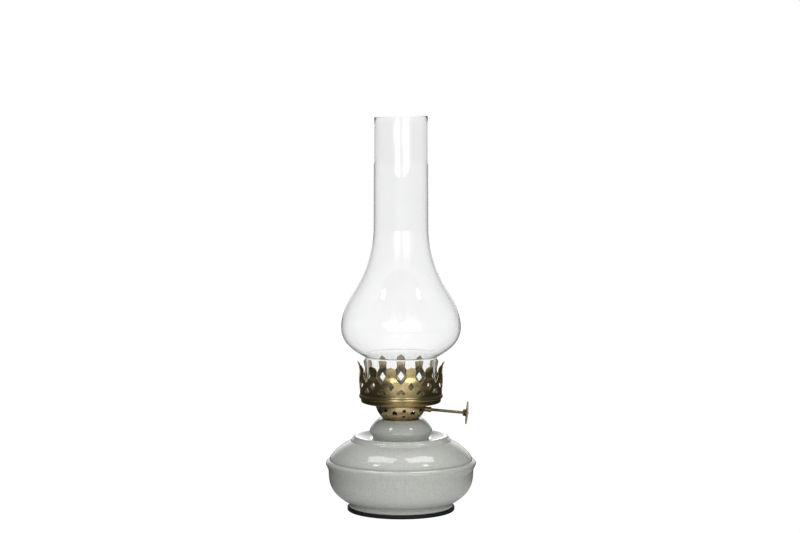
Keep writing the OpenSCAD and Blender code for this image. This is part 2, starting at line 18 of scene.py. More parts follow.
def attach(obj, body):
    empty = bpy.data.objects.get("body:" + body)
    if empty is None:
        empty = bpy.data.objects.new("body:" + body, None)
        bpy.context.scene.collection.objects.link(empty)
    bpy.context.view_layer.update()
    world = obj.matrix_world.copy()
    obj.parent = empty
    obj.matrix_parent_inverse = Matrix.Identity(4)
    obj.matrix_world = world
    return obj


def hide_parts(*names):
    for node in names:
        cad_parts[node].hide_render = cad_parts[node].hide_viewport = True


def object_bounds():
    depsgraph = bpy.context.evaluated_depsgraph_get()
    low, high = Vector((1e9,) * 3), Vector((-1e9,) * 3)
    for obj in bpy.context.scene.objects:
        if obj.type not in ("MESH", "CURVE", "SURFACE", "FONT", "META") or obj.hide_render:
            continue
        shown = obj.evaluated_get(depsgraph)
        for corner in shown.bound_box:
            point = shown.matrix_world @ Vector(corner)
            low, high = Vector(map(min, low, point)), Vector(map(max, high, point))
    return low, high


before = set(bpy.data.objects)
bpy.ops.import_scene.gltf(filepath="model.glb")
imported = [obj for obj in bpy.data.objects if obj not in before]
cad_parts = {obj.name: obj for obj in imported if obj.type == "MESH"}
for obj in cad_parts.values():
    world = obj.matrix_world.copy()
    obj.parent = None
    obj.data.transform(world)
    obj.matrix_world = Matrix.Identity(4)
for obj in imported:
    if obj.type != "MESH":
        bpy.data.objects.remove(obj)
frame_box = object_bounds()
MM = 0.001
print("frame, mm:", [round(v / MM, 1) for v in frame_box[1] - frame_box[0]])

# %% [markdown]
# ## Camera
#
# The lamp is seen from a little above its own middle, from almost two metres away with a
# long lens, which keeps the rims of the glass nearly flat. The lens looks down by just over
# four degrees, so each ring shows as a thin ellipse.

# %% The camera
lens_x, lens_y, lens_dip = -0.0009, -1.9033, 4.2256
lens = bpy.data.cameras.new("camera")
lens.sensor_width = 36
lens.lens = 91.85
lens.clip_start, lens.clip_end = 0.05, 60
camera = bpy.data.objects.new("camera", lens)
camera.location = (lens_x, lens_y, frame_box[1].z)
camera.rotation_euler = (math.radians(90 - lens_dip), 0, 0)
bpy.context.scene.collection.objects.link(camera)
bpy.context.scene.camera = camera
bpy.context.scene.view_settings.view_transform = "Standard"
print("camera height, mm:", round(camera.location.z / MM, 1))

# %% [markdown]
# ## Shader sums
#
# A finish is easier to read as a sum than as a web of nodes. `Amount` wraps one output of a
# node, and its operators add Math nodes. `Finish` owns a material: `node` adds any node from
# its type, its settings and its sockets, and `mix` blends two colours.

# %% Amount and Finish
class Amount:
    """One output of a node, which can be added, multiplied and so on."""

    def __init__(self, finish, socket):
        self.finish, self.socket = finish, socket

    def sum(self, operation, *values):
        return self.finish.node("ShaderNodeMath", {"operation": operation}, dict(enumerate(values)))

    def __add__(self, other):
        return self.sum("ADD", self, other)

    def __sub__(self, other):
        return self.sum("SUBTRACT", self, other)

    def __rsub__(self, other):
        return self.sum("SUBTRACT", other, self)

    def __mul__(self, other):
        return self.sum("MULTIPLY", self, other)

    def __truediv__(self, other):
        return self.sum("DIVIDE", self, other)

    __radd__, __rmul__ = __add__, __mul__

    def size(self):
        return self.sum("ABSOLUTE", self)

    def at_least(self, other):
        return self.sum("MAXIMUM", self, other)

    def kept(self):
        """The same amount, held between 0 and 1."""
        clamped = self.sum("ADD", self, 0.0)
        clamped.socket.node.use_clamp = True
        return clamped


class Finish:
    """A material on its way: its nodes and the main shader they feed."""

    def __init__(self, name, **sockets):
        self.material = bpy.data.materials.new(name)
        self.material.use_nodes = True
        self.nodes = self.material.node_tree.nodes
        self.shader = self.nodes["Principled BSDF"]
        self.feed(self.shader, {key.replace("_", " "): value for key, value in sockets.items()})

    def feed(self, node, sockets):
        for key, value in sockets.items():
            if isinstance(value, Amount):
                self.material.node_tree.links.new(value.socket, node.inputs[key])
            elif value is not None:
                socket = node.inputs[key]
                if socket.type == "RGBA" and len(value) == 3:
                    value = (*value, 1)
                socket.default_value = value

    def node(self, kind, settings=None, sockets=None, out=0):
        added = self.nodes.new(kind)
        for key, value in (settings or {}).items():
            if key == "stops":
                while len(added.color_ramp.elements) < len(value):
                    added.color_ramp.elements.new(0.5)
                for stop, (place, level) in zip(added.color_ramp.elements, value):
                    stop.position = place
                    stop.color = (level, level, level, 1)
            else:
                setattr(added, key, value)
        self.feed(added, sockets or {})
        return Amount(self, added.outputs[out])

    def place(self):
        """The point on the surface, in metres in the lamp's frame."""
        return self.node("ShaderNodeTexCoord", out=3)

    def noise(self, size, detail=3, rough=0.55, squeeze=(1, 1, 1)):
        """Soft noise with grains of about the given size in mm; squeeze stretches it along an axis."""
        spot = self.node("ShaderNodeVectorMath", {"operation": "MULTIPLY"},
                         {0: self.place(), 1: tuple(s / (size * MM) for s in squeeze)})
        return self.node("ShaderNodeTexNoise", {}, {"Vector": spot, "Scale": 1.0, "Detail": detail,
                                                    "Roughness": rough})

    def ramp(self, amount, *stops):
        return self.node("ShaderNodeValToRGB", {"stops": stops}, {0: amount})

    def mix(self, share, a, b, blend="MIX"):
        kind = {"data_type": "RGBA", "blend_type": blend}
        return self.node("ShaderNodeMix", kind, {0: share, 6: a, 7: b}, out=2)

    def axis(self, name):
        return self.node("ShaderNodeSeparateXYZ", {}, {0: self.place()}, out="XYZ".index(name))

    def bump(self, height, depth, strength=1.0):
        """A bump whose full height is depth, in mm."""
        return self.node("ShaderNodeBump", {},
                         {"Strength": strength, "Distance": depth * MM, "Height": height})

    def surface(self, **sockets):
        self.feed(self.shader, {key.replace("_", " "): value for key, value in sockets.items()})
        return self.material


print("an Amount can be added, subtracted, multiplied and divided")

# %% [markdown]
# ## Studio
#
# Polished brass and glaze show their surroundings, so the room matters as much as the
# lights. The lens sees a white table and a white wall, but the lamp is lit by a room with a
# bright front and dark sides, darker on the left than on the right. Two softboxes hang
# overhead, and two small lights, high in front, leave glints on the dome and the glass.
# A studio gets this with black flags; here the world answers the lens and the light rays
# with different brightness.

# %% World, table and lights
world = bpy.data.worlds.new("studio")
bpy.context.scene.world = world
room_gain, wall_gain, left_shade, nearest = 3.5, 1.3, 0.6, 0.01


class Room(Finish):
    """The same sums for a world, whose shader is a background."""

    def __init__(self, owner):
        self.material = owner
        owner.use_nodes = True
        self.nodes = owner.node_tree.nodes


def straight(owner):
    """1 for rays straight from the lens or through clear glass, 0 for light and for mirrored rays."""
    lens_ray = owner.node("ShaderNodeLightPath", out=0)
    path = lens_ray.socket.node.outputs
    glossy = Amount(owner, path["Glossy Depth"])
    unmirrored = glossy.sum("LESS_THAN", glossy, 0.5)
    through = Amount(owner, path["Is Transmission Ray"])
    return lens_ray.at_least(through * (0.6 + unmirrored * 0.4))


def fan(across, away):
    """How far to one side, against how far off; the left counts for more, so it darkens sooner."""
    leftward = (across * -1).at_least(0.0)
    return (across.size() + leftward * left_shade) / away.at_least(nearest)


room = Room(world)
toward = room.node("ShaderNodeTexCoord", out=0)
split = room.node("ShaderNodeSeparateXYZ", {}, {0: toward}).socket.node
across, depth, up = (Amount(room, split.outputs[axis]) for axis in "XYZ")
front = room.ramp(fan(across, depth * -1) / 2,
                  (0.065, 0.3), (0.10, 1.0), (0.30, 1.0), (0.42, 0.22), (0.75, 0.03))
card = room.ramp(up, (0.0, 1.0), (0.30, 1.0), (0.46, 0.45), (0.7, 0.2))
behind = room.ramp(depth, (0.5, 0.0), (0.85, 0.3)) * room.ramp(across.size(), (0.22, 1.0), (0.5, 0.0))
walls = front * card * wall_gain + behind
ceiling = room.ramp(up, (0.0, 1.0), (0.25, 0.95), (0.5, 0.30), (0.9, 0.16))
overhead = room.ramp(up, (0.45, 0.0), (0.75, 0.14), (1.0, 0.19))
level = (walls * ceiling + overhead) * room_gain
room.feed(room.nodes["Background"], {"Color": (1, 1, 1), "Strength": level + (1 - level) * straight(room)})


def table_top(half):
    """A square floor that reaches half to each side, in metres."""
    corners = [(-half, -half, 0), (half, -half, 0), (half, half, 0), (-half, half, 0)]
    mesh = bpy.data.meshes.new("floor")
    mesh.from_pydata(corners, [], [(0, 1, 2, 3)])
    floor = bpy.data.objects.new("floor", mesh)
    bpy.context.scene.collection.objects.link(floor)
    return floor


table_half, table_back = 14, 0.25
floor = table_top(table_half)
white = Finish("white_table", Roughness=0.9, Specular_IOR_Level=0.0)
# Painted shade on the floor: its colour darkens to the sides and behind for the light rays, while the lens
# sees it evenly white.
floor_painted_shade = white.ramp(fan(white.axis("X"), table_back - white.axis("Y")),
                     (0.12, 0.84), (0.35, 0.63), (0.5, 0.44), (0.8, 0.15), (1.2, 0.05))
lit = white.node("ShaderNodeEmission", {}, {"Color": (1, 1, 1), "Strength": 1.05})
both = white.node("ShaderNodeMixShader", {},
                  {0: straight(white), 1: Amount(white, white.shader.outputs[0]), 2: lit})
white.feed(white.nodes["Material Output"], {"Surface": both})
white.feed(white.shader, {"Base Color": white.mix(floor_painted_shade, (0, 0, 0), (1, 1, 1))})
floor.data.materials.append(white.material)


def softbox(name, place, aim, size, radiance, spin=0.0):
    """A rectangular light, from place to aim; radiance is the brightness that its face shows."""
    data = bpy.data.lights.new(name, "AREA")
    data.shape, data.size, data.size_y = "RECTANGLE", size[0], size[1]
    data.energy = radiance * math.pi * size[0] * size[1]
    light = bpy.data.objects.new(name, data)
    facing = (Vector(place) - Vector(aim)).to_track_quat("Z", "Y").to_matrix().to_4x4()
    spun = Matrix.Rotation(math.radians(spin), 4, "Z")
    light.matrix_world = Matrix.Translation(place) @ spun @ facing
    light.visible_camera = False
    light.visible_transmission = False
    bpy.context.scene.collection.objects.link(light)


box_x, box_y, box_z, box_size, box_spin = 0.53, 0.01, 1.60, (0.84, 0.50), 26
glint_x, glint_y, glint_z, glint_size, glint_aim = 0.97, -0.61, 1.72, (0.26, 0.30), (0, 0, 0.1)
for name, hand, radiance in (("softbox_left", -1, 4.5), ("softbox_right", 1, 5.2)):
    spot = (hand * box_x, box_y, box_z)
    softbox(name, spot, (*spot[:2], 0), box_size, radiance, hand * box_spin)
for name, hand in (("strip_left", -1), ("strip_right", 1)):
    softbox(name, (hand * glint_x, glint_y, glint_z), glint_aim, glint_size, 10.0)

# %% [markdown]
# ## Outlines
#
# A turned piece is drawn as half of its section: radius and height, in mm. `curve` is a
# cubic whose handles are shares of the step between its ends, so a curve keeps its shape
# when its ends move. `sheet` gives a line the thickness of the metal, with rounded ends.

# %% Curves and sheets
QUARTER = ((0, 0.55), (0.55, 0))


def curve(a, b, leave, arrive, n=14):
    dx, dy = b[0] - a[0], b[1] - a[1]
    p = (a[0] + leave[0] * dx, a[1] + leave[1] * dy)
    q = (b[0] - arrive[0] * dx, b[1] - arrive[1] * dy)
    line = []
    for i in range(n + 1):
        t = i / n
        s = 1 - t
        line.append(tuple(s**3 * a[k] + 3 * s * s * t * p[k] + 3 * s * t * t * q[k] + t**3 * b[k]
                          for k in (0, 1)))
    return line


def single(line, gap=1e-4):
    """The line without doubled points."""
    kept = [line[0]]
    for point in line[1:]:
        if math.dist(point, kept[-1]) > gap:
            kept.append(point)
    return kept


def lefts(line):
    """The unit normal on the left of each point of an open line."""
    found = []
    for i in range(len(line)):
        a, b = line[max(i - 1, 0)], line[min(i + 1, len(line) - 1)]
        d = math.dist(a, b) or 1
        found.append((-(b[1] - a[1]) / d, (b[0] - a[0]) / d))
    return found


def sheet(line, t):
    """A closed section: the line, with metal of thickness t on its left and round ends."""
    line = single(line)
    far = [(p[0] + t * n[0], p[1] + t * n[1]) for p, n in zip(line, lefts(line))]
    closed = list(line)
    for near, over, way in ((line[-1], far[-1], 1), (far[0], line[0], -1)):
        if way == -1:
            closed += far[::-1]
        mid = ((near[0] + over[0]) / 2, (near[1] + over[1]) / 2)
        half = ((near[0] - over[0]) / 2, (near[1] - over[1]) / 2)
        out = (half[1], -half[0]) if t < 0 else (-half[1], half[0])
        for turn_by in (45, 90, 135):
            c, s = math.cos(math.radians(turn_by)), math.sin(math.radians(turn_by))
            closed.append((mid[0] + c * half[0] + s * out[0], mid[1] + c * half[1] + s * out[1]))
    return closed


def soften(line, radius, closed=True, n=3):
    """The outline with its corners rounded."""
    soft, count = [], len(line)
    for i, p in enumerate(line):
        a, b = line[i - 1], line[(i + 1) % count]
        if not closed and i in (0, count - 1):
            soft.append(p)
            continue
        u, v = (Vector(a) - Vector(p)), (Vector(b) - Vector(p))
        if u.length < 1e-6 or v.length < 1e-6 or u.angle(v) > math.radians(155):
            soft.append(p)
            continue
        cut = min(radius, 0.4 * u.length, 0.4 * v.length)
        s, e = Vector(p) + u.normalized() * cut, Vector(p) + v.normalized() * cut
        for k in range(n + 1):
            t = k / n
            soft.append(tuple((1 - t) ** 2 * s + 2 * t * (1 - t) * Vector(p) + t * t * e))
    return soft


quarter = curve((1, 0), (0, 1), *QUARTER, 4)
print("a quarter round of 4 steps:", [tuple(round(v, 2) for v in p) for p in quarter])

# %% [markdown]
# ## Pieces
#
# Every piece is a mesh built in mm, scaled to metres, shaded smooth except over its hard
# edges, given its finish, and set to ride on its body. `turn` carries an outline round the
# axis in fine steps. A lathe modifier would do it too, but building the rings keeps every
# face a clean quad and closes the caps.

# %% piece and turn
def piece(name, points, faces, body, finish, nodes=(), sharp=38, place=None):
    mesh = bpy.data.meshes.new(name)
    mesh.from_pydata([tuple(c * MM for c in p) for p in points], [], faces)
    work = bmesh.new()
    work.from_mesh(mesh)
    bmesh.ops.remove_doubles(work, verts=work.verts, dist=1e-7)
    bmesh.ops.recalc_face_normals(work, faces=work.faces)
    if place is not None:
        bmesh.ops.transform(work, matrix=place, verts=work.verts)
    work.to_mesh(mesh)
    work.free()
    mesh.shade_smooth()
    mesh.set_sharp_from_angle(angle=math.radians(sharp))
    made = bpy.data.objects.new(name, mesh)
    bpy.context.scene.collection.objects.link(made)
    mesh.materials.append(finish)
    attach(made, body)
    if nodes:
        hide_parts(*nodes)
    return made


def around(steps):
    """The angles of equal steps round a circle."""
    return [math.tau * k / steps for k in range(steps)]


def turned(outline, steps=160, closed=True):
    """Points and faces of an outline carried round Z. An open outline starts and ends on the axis."""
    outline = single(outline)
    points, faces, rings = [], [], []
    for r, z in outline:
        if r < 1e-6:
            rings.append([len(points)] * steps)
            points.append((0, 0, z))
        else:
            rings.append(list(range(len(points), len(points) + steps)))
            points += [(r * math.cos(a), r * math.sin(a), z) for a in around(steps)]
    pairs = list(zip(rings, rings[1:])) + ([(rings[-1], rings[0])] if closed else [])
    for low, high in pairs:
        for k in range(steps):
            j = (k + 1) % steps
            face = [low[k], low[j], high[j], high[k]]
            face = [v for i, v in enumerate(face) if v not in face[:i]]
            if len(face) > 2:
                faces.append(face)
    return points, faces


def turn(name, outline, body, finish, nodes=(), steps=160, closed=True, sharp=38, place=None):
    points, faces = turned(outline, steps, closed)
    return piece(name, points, faces, body, finish, nodes, sharp, place)


print("piece and turn are ready")

# %% [markdown]
# ## Base pad
#
# The lamp stands on a thin black pad of hard rubber that keeps the glazed foot off the
# table. Its edges are rounded over, so they catch a thin line of light.

# %% Rubber and the base pad
pad_r, pad_t, pad_round = 50.5, 3.6, 0.7
QUARTER_UP = ((0.55, 0), (0, 0.55))
foot_r, z_crease = 48.9, 5.2

rubber = Finish("pad_rubber", Specular_IOR_Level=0.18)
grit = rubber.noise(0.5, detail=4)
cloud = rubber.noise(14)
black_rubber = rubber.surface(
    Base_Color=rubber.mix(cloud, (0.006, 0.009, 0.010), (0.014, 0.018, 0.019)),
    Roughness=0.42 + grit * 0.22,
    Normal=rubber.bump(grit, 0.05, 0.5))

pad = ([(0, 0)]
       + curve((pad_r - pad_round, 0), (pad_r, pad_round), *QUARTER_UP, 5)
       + curve((pad_r, pad_t - pad_round), (pad_r - pad_round, pad_t), *QUARTER, 5)
       + [(foot_r - 1, pad_t), (foot_r - 6, pad_t), (0, pad_t)])
turn("base_pad_turned", pad, "font", black_rubber, ["base_pad"], closed=False)
print("pad, mm across:", 2 * pad_r)

# %% [markdown]
# ## Glazed font
#
# The font is thrown and cast in tiers: a rounded belly, a bead round the widest line, a
# shoulder that climbs to a dished ledge, and a small dome that ends in the neck. One outline
# holds all of it, outside and inside, so the wall has a real thickness at the neck. The glaze
# is a glossy coat over a grey body, so it gets a clear coat, with faint speckles and a slight
# unevenness that bends the reflections a little, as a poured glaze does.

# %% The font's outline
z_belly, z_bead, z_shoulder, z_ledge, z_dome, z_neck = 36.0, 42.6, 48.3, 70.6, 75.2, 86.5
belly_r, bead_r, bead_step = 68.1, 70.6, 2.8
ledge_r, waist_r, dome_r, neck_r, bore_r = 44.4, 26.4, 29.4, 21.6, 16.2
wall = 4.0
fillet_end = (ledge_r + 2.7, z_ledge - 5.1)
groove, z_groove_top = [(51.1, 8.8), (50.9, 9.15), (51.3, 9.35)], 9.6

outside = (
    [(0, pad_t), (foot_r - 0.5, pad_t), (foot_r, pad_t + 0.4), (foot_r, z_crease - 0.3)]
    + curve((foot_r, z_crease - 0.1), (50.9, 8.5), (0, 0.5), (0.45, 0.35), 8) + groove
    + [p for p in curve((48.5, z_crease), (belly_r, z_belly), (0.36, 0.27), (0, 0.69), 40)
       if p[1] > z_groove_top]
    + curve((belly_r, z_belly), (bead_r - 0.6, z_bead - 0.2), (0, 0.4), (0.5, 0.3), 12)
    + curve((bead_r - 0.6, z_bead), (bead_r, z_bead + 1.9), (0.8, 0.3), (0, 0.5), 8)
    + curve((bead_r, z_bead + 1.9), (bead_r - 1.7, z_bead + 4.7), (0, 0.5), (0.5, 0.32), 10)
    + curve((bead_r - 1.7, z_bead + 4.7), (bead_r - 3.0, z_bead + 5.0), (0.4, 0.8), (0.3, 0), 6)
    + curve((bead_r - 3.3, z_bead + 5.2), fillet_end, (0.08, 0.33), (0.44, 0.22), 44)
    + curve(fillet_end, (ledge_r, z_ledge - 1.1), (0.2, 0.5), (0, 0.2), 12)
    + curve((ledge_r, z_ledge - 1), (ledge_r - 1.4, z_ledge), *QUARTER, 8)
    + curve((ledge_r - 1.4, z_ledge), (waist_r, z_ledge - 2.8), (0.4, 0.1), (0.4, 0), 16)
    + curve((waist_r, z_ledge - 2.8), (dome_r, z_dome), (0.15, 0.3), (0.05, 0.4), 12)
    + curve((dome_r, z_dome), (neck_r, z_neck - 0.8), (0, 0.23), (0.34, 0.15), 24)
    + curve((neck_r, z_neck - 0.8), (neck_r - 2, z_neck), *QUARTER, 6))
inside = (
    [(bore_r + 0.4, z_neck), (bore_r, z_neck - 0.4)]
    + curve((bore_r, z_neck - 7), (dome_r - wall, z_dome - 1), (0.34, 0.15), (0, 0.23), 10)
    + curve((waist_r - wall, z_ledge - 3.8), (ledge_r - wall, z_ledge - 5.4), (0.4, 0.1), (0.4, 0), 6)
    + curve((fillet_end[0] - wall, fillet_end[1] - 5), (bead_r - bead_step - wall, z_shoulder - 2),
            (0.54, 0.34), (0.27, 0.41), 12)
    + curve((belly_r - wall, z_belly), (foot_r - 2.4, pad_t + wall), (0, 0.69), (0.36, 0.27), 14)
    + [(0, pad_t + wall)])
print("outline points:", len(outside) + len(inside))

# %% The glaze
glaze = Finish("grey_glaze", Specular_IOR_Level=0.12, Coat_IOR=1.5, Coat_Roughness=0.02)
pooled = glaze.noise(38, detail=2)
mottle = glaze.noise(1.6, detail=3, rough=0.7)
speck_size = glaze.node("ShaderNodeTexVoronoi", {"feature": "F1"},
                        {"Vector": glaze.place(), "Scale": 1 / (1.3 * MM), "Randomness": 1.0})
some = glaze.ramp(glaze.noise(2.4), (0.5, 0.0), (0.62, 1.0))
speck = glaze.ramp(speck_size, (0.10, 1.0), (0.2, 0.0)) * some
height = glaze.axis("Z") / (100 * MM)
thin_edge = glaze.ramp(height, (0.40, 0.0), (0.425, 1.0), (0.45, 0.0))
ground = glaze.mix(pooled, (0.40, 0.415, 0.385), (0.46, 0.475, 0.44))
ground = glaze.mix(glaze.ramp(mottle, (0.38, 0.0), (0.66, 1.0)) * 0.55, ground, (0.60, 0.61, 0.575))
ground = glaze.mix(thin_edge * 0.18, ground, (0.62, 0.62, 0.59))
# Painted shade: dark rings along the groove near the foot and along the crease above the bead, where shadow
# gathers.
painted_crease_shade = glaze.ramp(height, (0.083, 0.0), (0.0915, 1.0), (0.097, 0.0),
                     (0.47, 0.0), (0.4785, 0.8), (0.49, 0.0))
ground = glaze.mix(painted_crease_shade * (0.45 + mottle * 0.4), ground, (0.13, 0.14, 0.125))
grey_glaze = glaze.surface(
    Base_Color=glaze.mix(speck * 0.6, ground, (0.17, 0.18, 0.165)),
    Roughness=0.30 + mottle * 0.12,
    Coat_Weight=1.0,
    Normal=glaze.bump(glaze.noise(9, detail=2), 0.05, 0.35))
turn("font_body", outside + inside, "font", grey_glaze, ["font"], steps=240, closed=False, sharp=32)
print("glaze:", len(glaze.nodes), "nodes")

# %% [markdown]
# ## Collar
#
# A brass collar is set in the neck with plaster, which shows as a pale ring. The burner
# screws into it. Both are plain turned rings with eased edges.

# %% Plain brass, plaster and the collar
def brass(name, bright, dark, rough, patina=1.0, grain=(1, 1, 1)):
    """Brass with a brown-green bloom in broad patches, fine scratches and soft dents."""
    made = Finish(name, Metallic=1.0)
    bloom = made.ramp(made.noise(11, detail=5, rough=0.62), (0.35, 0.0), (0.68, 1.0))
    fine = made.noise(0.9, detail=4, rough=0.6)
    line = made.noise(2.2, detail=3, squeeze=grain)
    tone = made.mix((bloom * 0.6 + fine * 0.4) * patina, bright, dark)
    made.tone, made.fine = tone, fine
    made.surface(
        Base_Color=tone,
        Roughness=rough + bloom * 0.12 + (line - 0.5) * 0.16,
        Normal=made.bump(line * 0.6 + fine * 0.4, 0.02, 0.4))
    return made


# Dimmed brass for the parts inside the burner and gallery: their darkness is painted shade.
inner_brass = brass("inner_brass", (0.36, 0.27, 0.13), (0.11, 0.085, 0.045), 0.30, grain=(1, 1, 6)).material
plaster = Finish("set_plaster", Specular_IOR_Level=0.2)
chalk = plaster.noise(1.4, detail=5)
plaster.surface(
    Base_Color=plaster.mix(chalk, (0.66, 0.62, 0.53), (0.80, 0.77, 0.69)),
    Roughness=0.8 + chalk * 0.15,
    Normal=plaster.bump(chalk, 0.2, 0.6))


def ring_section(r_in, r_out, low, high, ease=0.2):
    """The section of a plain ring, with its corners eased."""
    return soften([(r_in, low), (r_out, low), (r_out, high), (r_in, high)], ease)


turn("collar_plaster", ring_section(15.05, bore_r - 0.02, z_neck - 7, z_neck, 0.1), "font",
     plaster.material, ["collar_cement"])
collar_in, collar_r, flange_r, z_flange, z_collar_foot = 13.5, 15.0, 17.2, z_neck + 1.0, z_neck - 9.5
collar = [(collar_in, z_collar_foot), (collar_r, z_collar_foot), (collar_r, z_neck), (flange_r, z_neck),
          (flange_r, z_flange), (collar_in, z_flange)]
# The collar's brass is painted dark: painted shade in the gap under the basket's foot.
collar_brass_painted_shade = brass("collar_brass_painted_shade", (0.20, 0.15, 0.07), (0.07, 0.05, 0.03), 0.35, grain=(1, 1, 6)).material
turn("collar_ring", soften(collar, 0.25), "font", collar_brass_painted_shade, ["collar"])
print("collar, mm across:", 2 * flange_r)

# %% [markdown]
# ## Cut sheet
#
# The basket and the crown are stamped flat and then rolled into a ring, so they are modelled
# the same way. One repeat of the pattern is drawn flat, as an outline and its holes, and
# filled with triangles whose sides follow both. The pattern is copied side by side, wrapped
# round the outline of the wall, and given its thickness. The punch leaves a raised lip round
# each hole, so points near an edge stand out a little. The distance to the nearest edge is
# also kept on the mesh, and the brass finish brightens near it: partly wear where hands and
# cloths rub it, partly a painted highlight where the edges catch the light.

# %% Flat patterns
def to_edge(point, edges):
    """Distance from a point to the nearest of the given line segments."""
    near = 1e9
    for a, b in edges:
        ab, ap = (b[0] - a[0], b[1] - a[1]), (point[0] - a[0], point[1] - a[1])
        t = max(0, min(1, (ab[0] * ap[0] + ab[1] * ap[1]) / max(ab[0] ** 2 + ab[1] ** 2, 1e-12)))
        near = min(near, math.hypot(ap[0] - t * ab[0], ap[1] - t * ab[1]))
    return near


def sides(loop):
    """The sides of a closed loop, each as its two ends."""
    return list(zip(loop, loop[1:] + loop[:1]))


def inside_loop(point, loop):
    x, y = point
    odd = False
    for (ax, ay), (bx, by) in sides(loop):
        if (ay > y) != (by > y) and x < ax + (y - ay) * (bx - ax) / (by - ay):
            odd = not odd
    return odd


def spaced(loop, step):
    """The same loop with its long sides divided."""
    points = []
    for a, b in sides(loop):
        parts = max(1, round(math.dist(a, b) / step))
        points += [tuple(a[i] + (b[i] - a[i]) * k / parts for i in (0, 1)) for k in range(parts)]
    return points


def fill(outline, holes, free_edges, step, rings=(0.22, 0.5, 0.9)):
    """Triangles inside an outline and outside its holes, with rows of points along the free edges."""
    loops = [outline] + holes
    points = [p for loop in loops for p in loop]
    spans, start = [], 0
    for loop in loops:
        spans.append(list(range(start, start + len(loop))))
        start += len(loop)
    segments = [side for loop in loops for side in sides(loop)]

    def fits(p, gap):
        return (inside_loop(p, outline) and not any(inside_loop(p, hole) for hole in holes)
                and to_edge(p, segments) > gap)

    extra = []
    for a, b in free_edges:
        mid, d = ((a[0] + b[0]) / 2, (a[1] + b[1]) / 2), math.dist(a, b)
        normal = (-(b[1] - a[1]) / d, (b[0] - a[0]) / d)
        for away in rings:
            for way in (-1, 1):
                p = (mid[0] + way * away * normal[0], mid[1] + way * away * normal[1])
                if fits(p, away * 0.85) and all(math.dist(p, q) > 0.4 * step for q in extra):
                    extra.append(p)
    xs, ys = [p[0] for p in outline], [p[1] for p in outline]
    y, row = min(ys) + step * 0.5, 0
    while y < max(ys):
        x = min(xs) + step * (0.5 if row % 2 else 0.0)
        while x < max(xs):
            if fits((x, y), step * 0.45) and all(math.dist((x, y), q) > 0.6 * step for q in extra):
                extra.append((x, y))
            x += step
        y, row = y + step * 0.87, row + 1
    everything = [Vector(p) for p in points + extra]
    found = geometry.delaunay_2d_cdt(everything, [], spans, 0, 1e-6)
    flat, triangles = [tuple(v) for v in found[0]], []
    for face in found[2]:
        mid = tuple(sum(flat[i][k] for i in face) / len(face) for k in (0, 1))
        if inside_loop(mid, outline) and not any(inside_loop(mid, hole) for hole in holes):
            triangles.append(tuple(face))
    edge = [to_edge(p, free_edges) for p in flat]
    return flat, triangles, edge


square, hole = [(0, 0), (9, 0), (9, 9), (0, 9)], [(3, 3), (3, 6), (6, 6), (6, 3)]
print("a square with a hole:", len(fill(square, [hole], sides(hole)[:1], 1.5)[1]), "triangles")

# %% The wall of a cut sheet
class Wall:
    """The outer line of a turned wall; a point on it is found by its length along the line."""

    def __init__(self, line):
        self.line = single(line)
        self.run = [0.0]
        for a, b in zip(self.line, self.line[1:]):
            self.run.append(self.run[-1] + math.dist(a, b))
        self.normals = [(-n[0], -n[1]) for n in lefts(self.line)]

    def along(self, z):
        """Length along the line at height z, where the line climbs all the way."""
        for i, (a, b) in enumerate(zip(self.line, self.line[1:])):
            if z <= b[1] or i == len(self.line) - 2:
                share = (z - a[1]) / max(b[1] - a[1], 1e-9)
                return self.run[i] + share * (self.run[i + 1] - self.run[i])

    def at(self, s):
        """Radius, height and outward normal at length s."""
        i = 0
        while i < len(self.run) - 2 and s > self.run[i + 1]:
            i += 1
        t = max(0, min(1, (s - self.run[i]) / (self.run[i + 1] - self.run[i])))
        (r0, z0), (r1, z1) = self.line[i], self.line[i + 1]
        (a0, b0), (a1, b1) = self.normals[i], self.normals[i + 1]
        a, b = a0 + (a1 - a0) * t, b0 + (b1 - b0) * t
        d = math.hypot(a, b)
        return r0 + (r1 - r0) * t, z0 + (z1 - z0) * t, a / d, b / d


def lip(distance, height=0.16, width=0.75):
    """How far the punched edge stands out, at a distance from it."""
    if distance >= width:
        return 0.0
    u = distance / width
    return height * (1 - u) ** 2 * (1 + 2 * u) * (0.55 + 0.45 * min(1, u * 4))


def open_edges(triangles):
    """The edges that belong to one triangle only."""
    edges = dict.fromkeys(e for a, b, c in triangles for e in ((a, b), (b, c), (c, a)))
    return [(a, b) for a, b in edges if (b, a) not in edges]


def cut_sheet(name, wall_line, pattern, repeats, start, thickness, body, finish, nodes,
              raised=lip, warp=None):
    """One repeat of a flat pattern (angle share, length) carried round a wall and thickened."""
    flat, triangles, edge = pattern
    points, faces, near, deep = [], [], [], []
    steps_round = math.tau / repeats
    for k in range(repeats):
        base = len(points)
        for layer in (0, 1):
            for (share, s), distance in zip(flat, edge):
                angle = math.radians(start) + (k + share) * steps_round
                r, z, nr, nz = wall_line.at(s)
                if warp:
                    r, z = warp(share, s, r, z, angle)
                push = raised(distance) - layer * thickness
                r, z = r + nr * push, z + nz * push
                points.append((r * math.sin(angle), -r * math.cos(angle), z))
                near.append(distance)
                deep.append(layer)
        size = len(flat)
        for a, b, c in triangles:
            faces.append((base + a, base + b, base + c))
            faces.append((base + size + c, base + size + b, base + size + a))
        for a, b in open_edges(triangles):
            seam = all(abs(abs(flat[i][0]) - 0.5) < 1e-6 for i in (a, b))
            if not seam:
                faces.append((base + b, base + a, base + size + a, base + size + b))
    made = piece(name, points, faces, body, finish, nodes, sharp=45)
    keep_on_mesh(made, "to_cut", points, [min(1, d / 2) for d in near])
    keep_on_mesh(made, "within", points, deep)
    return made


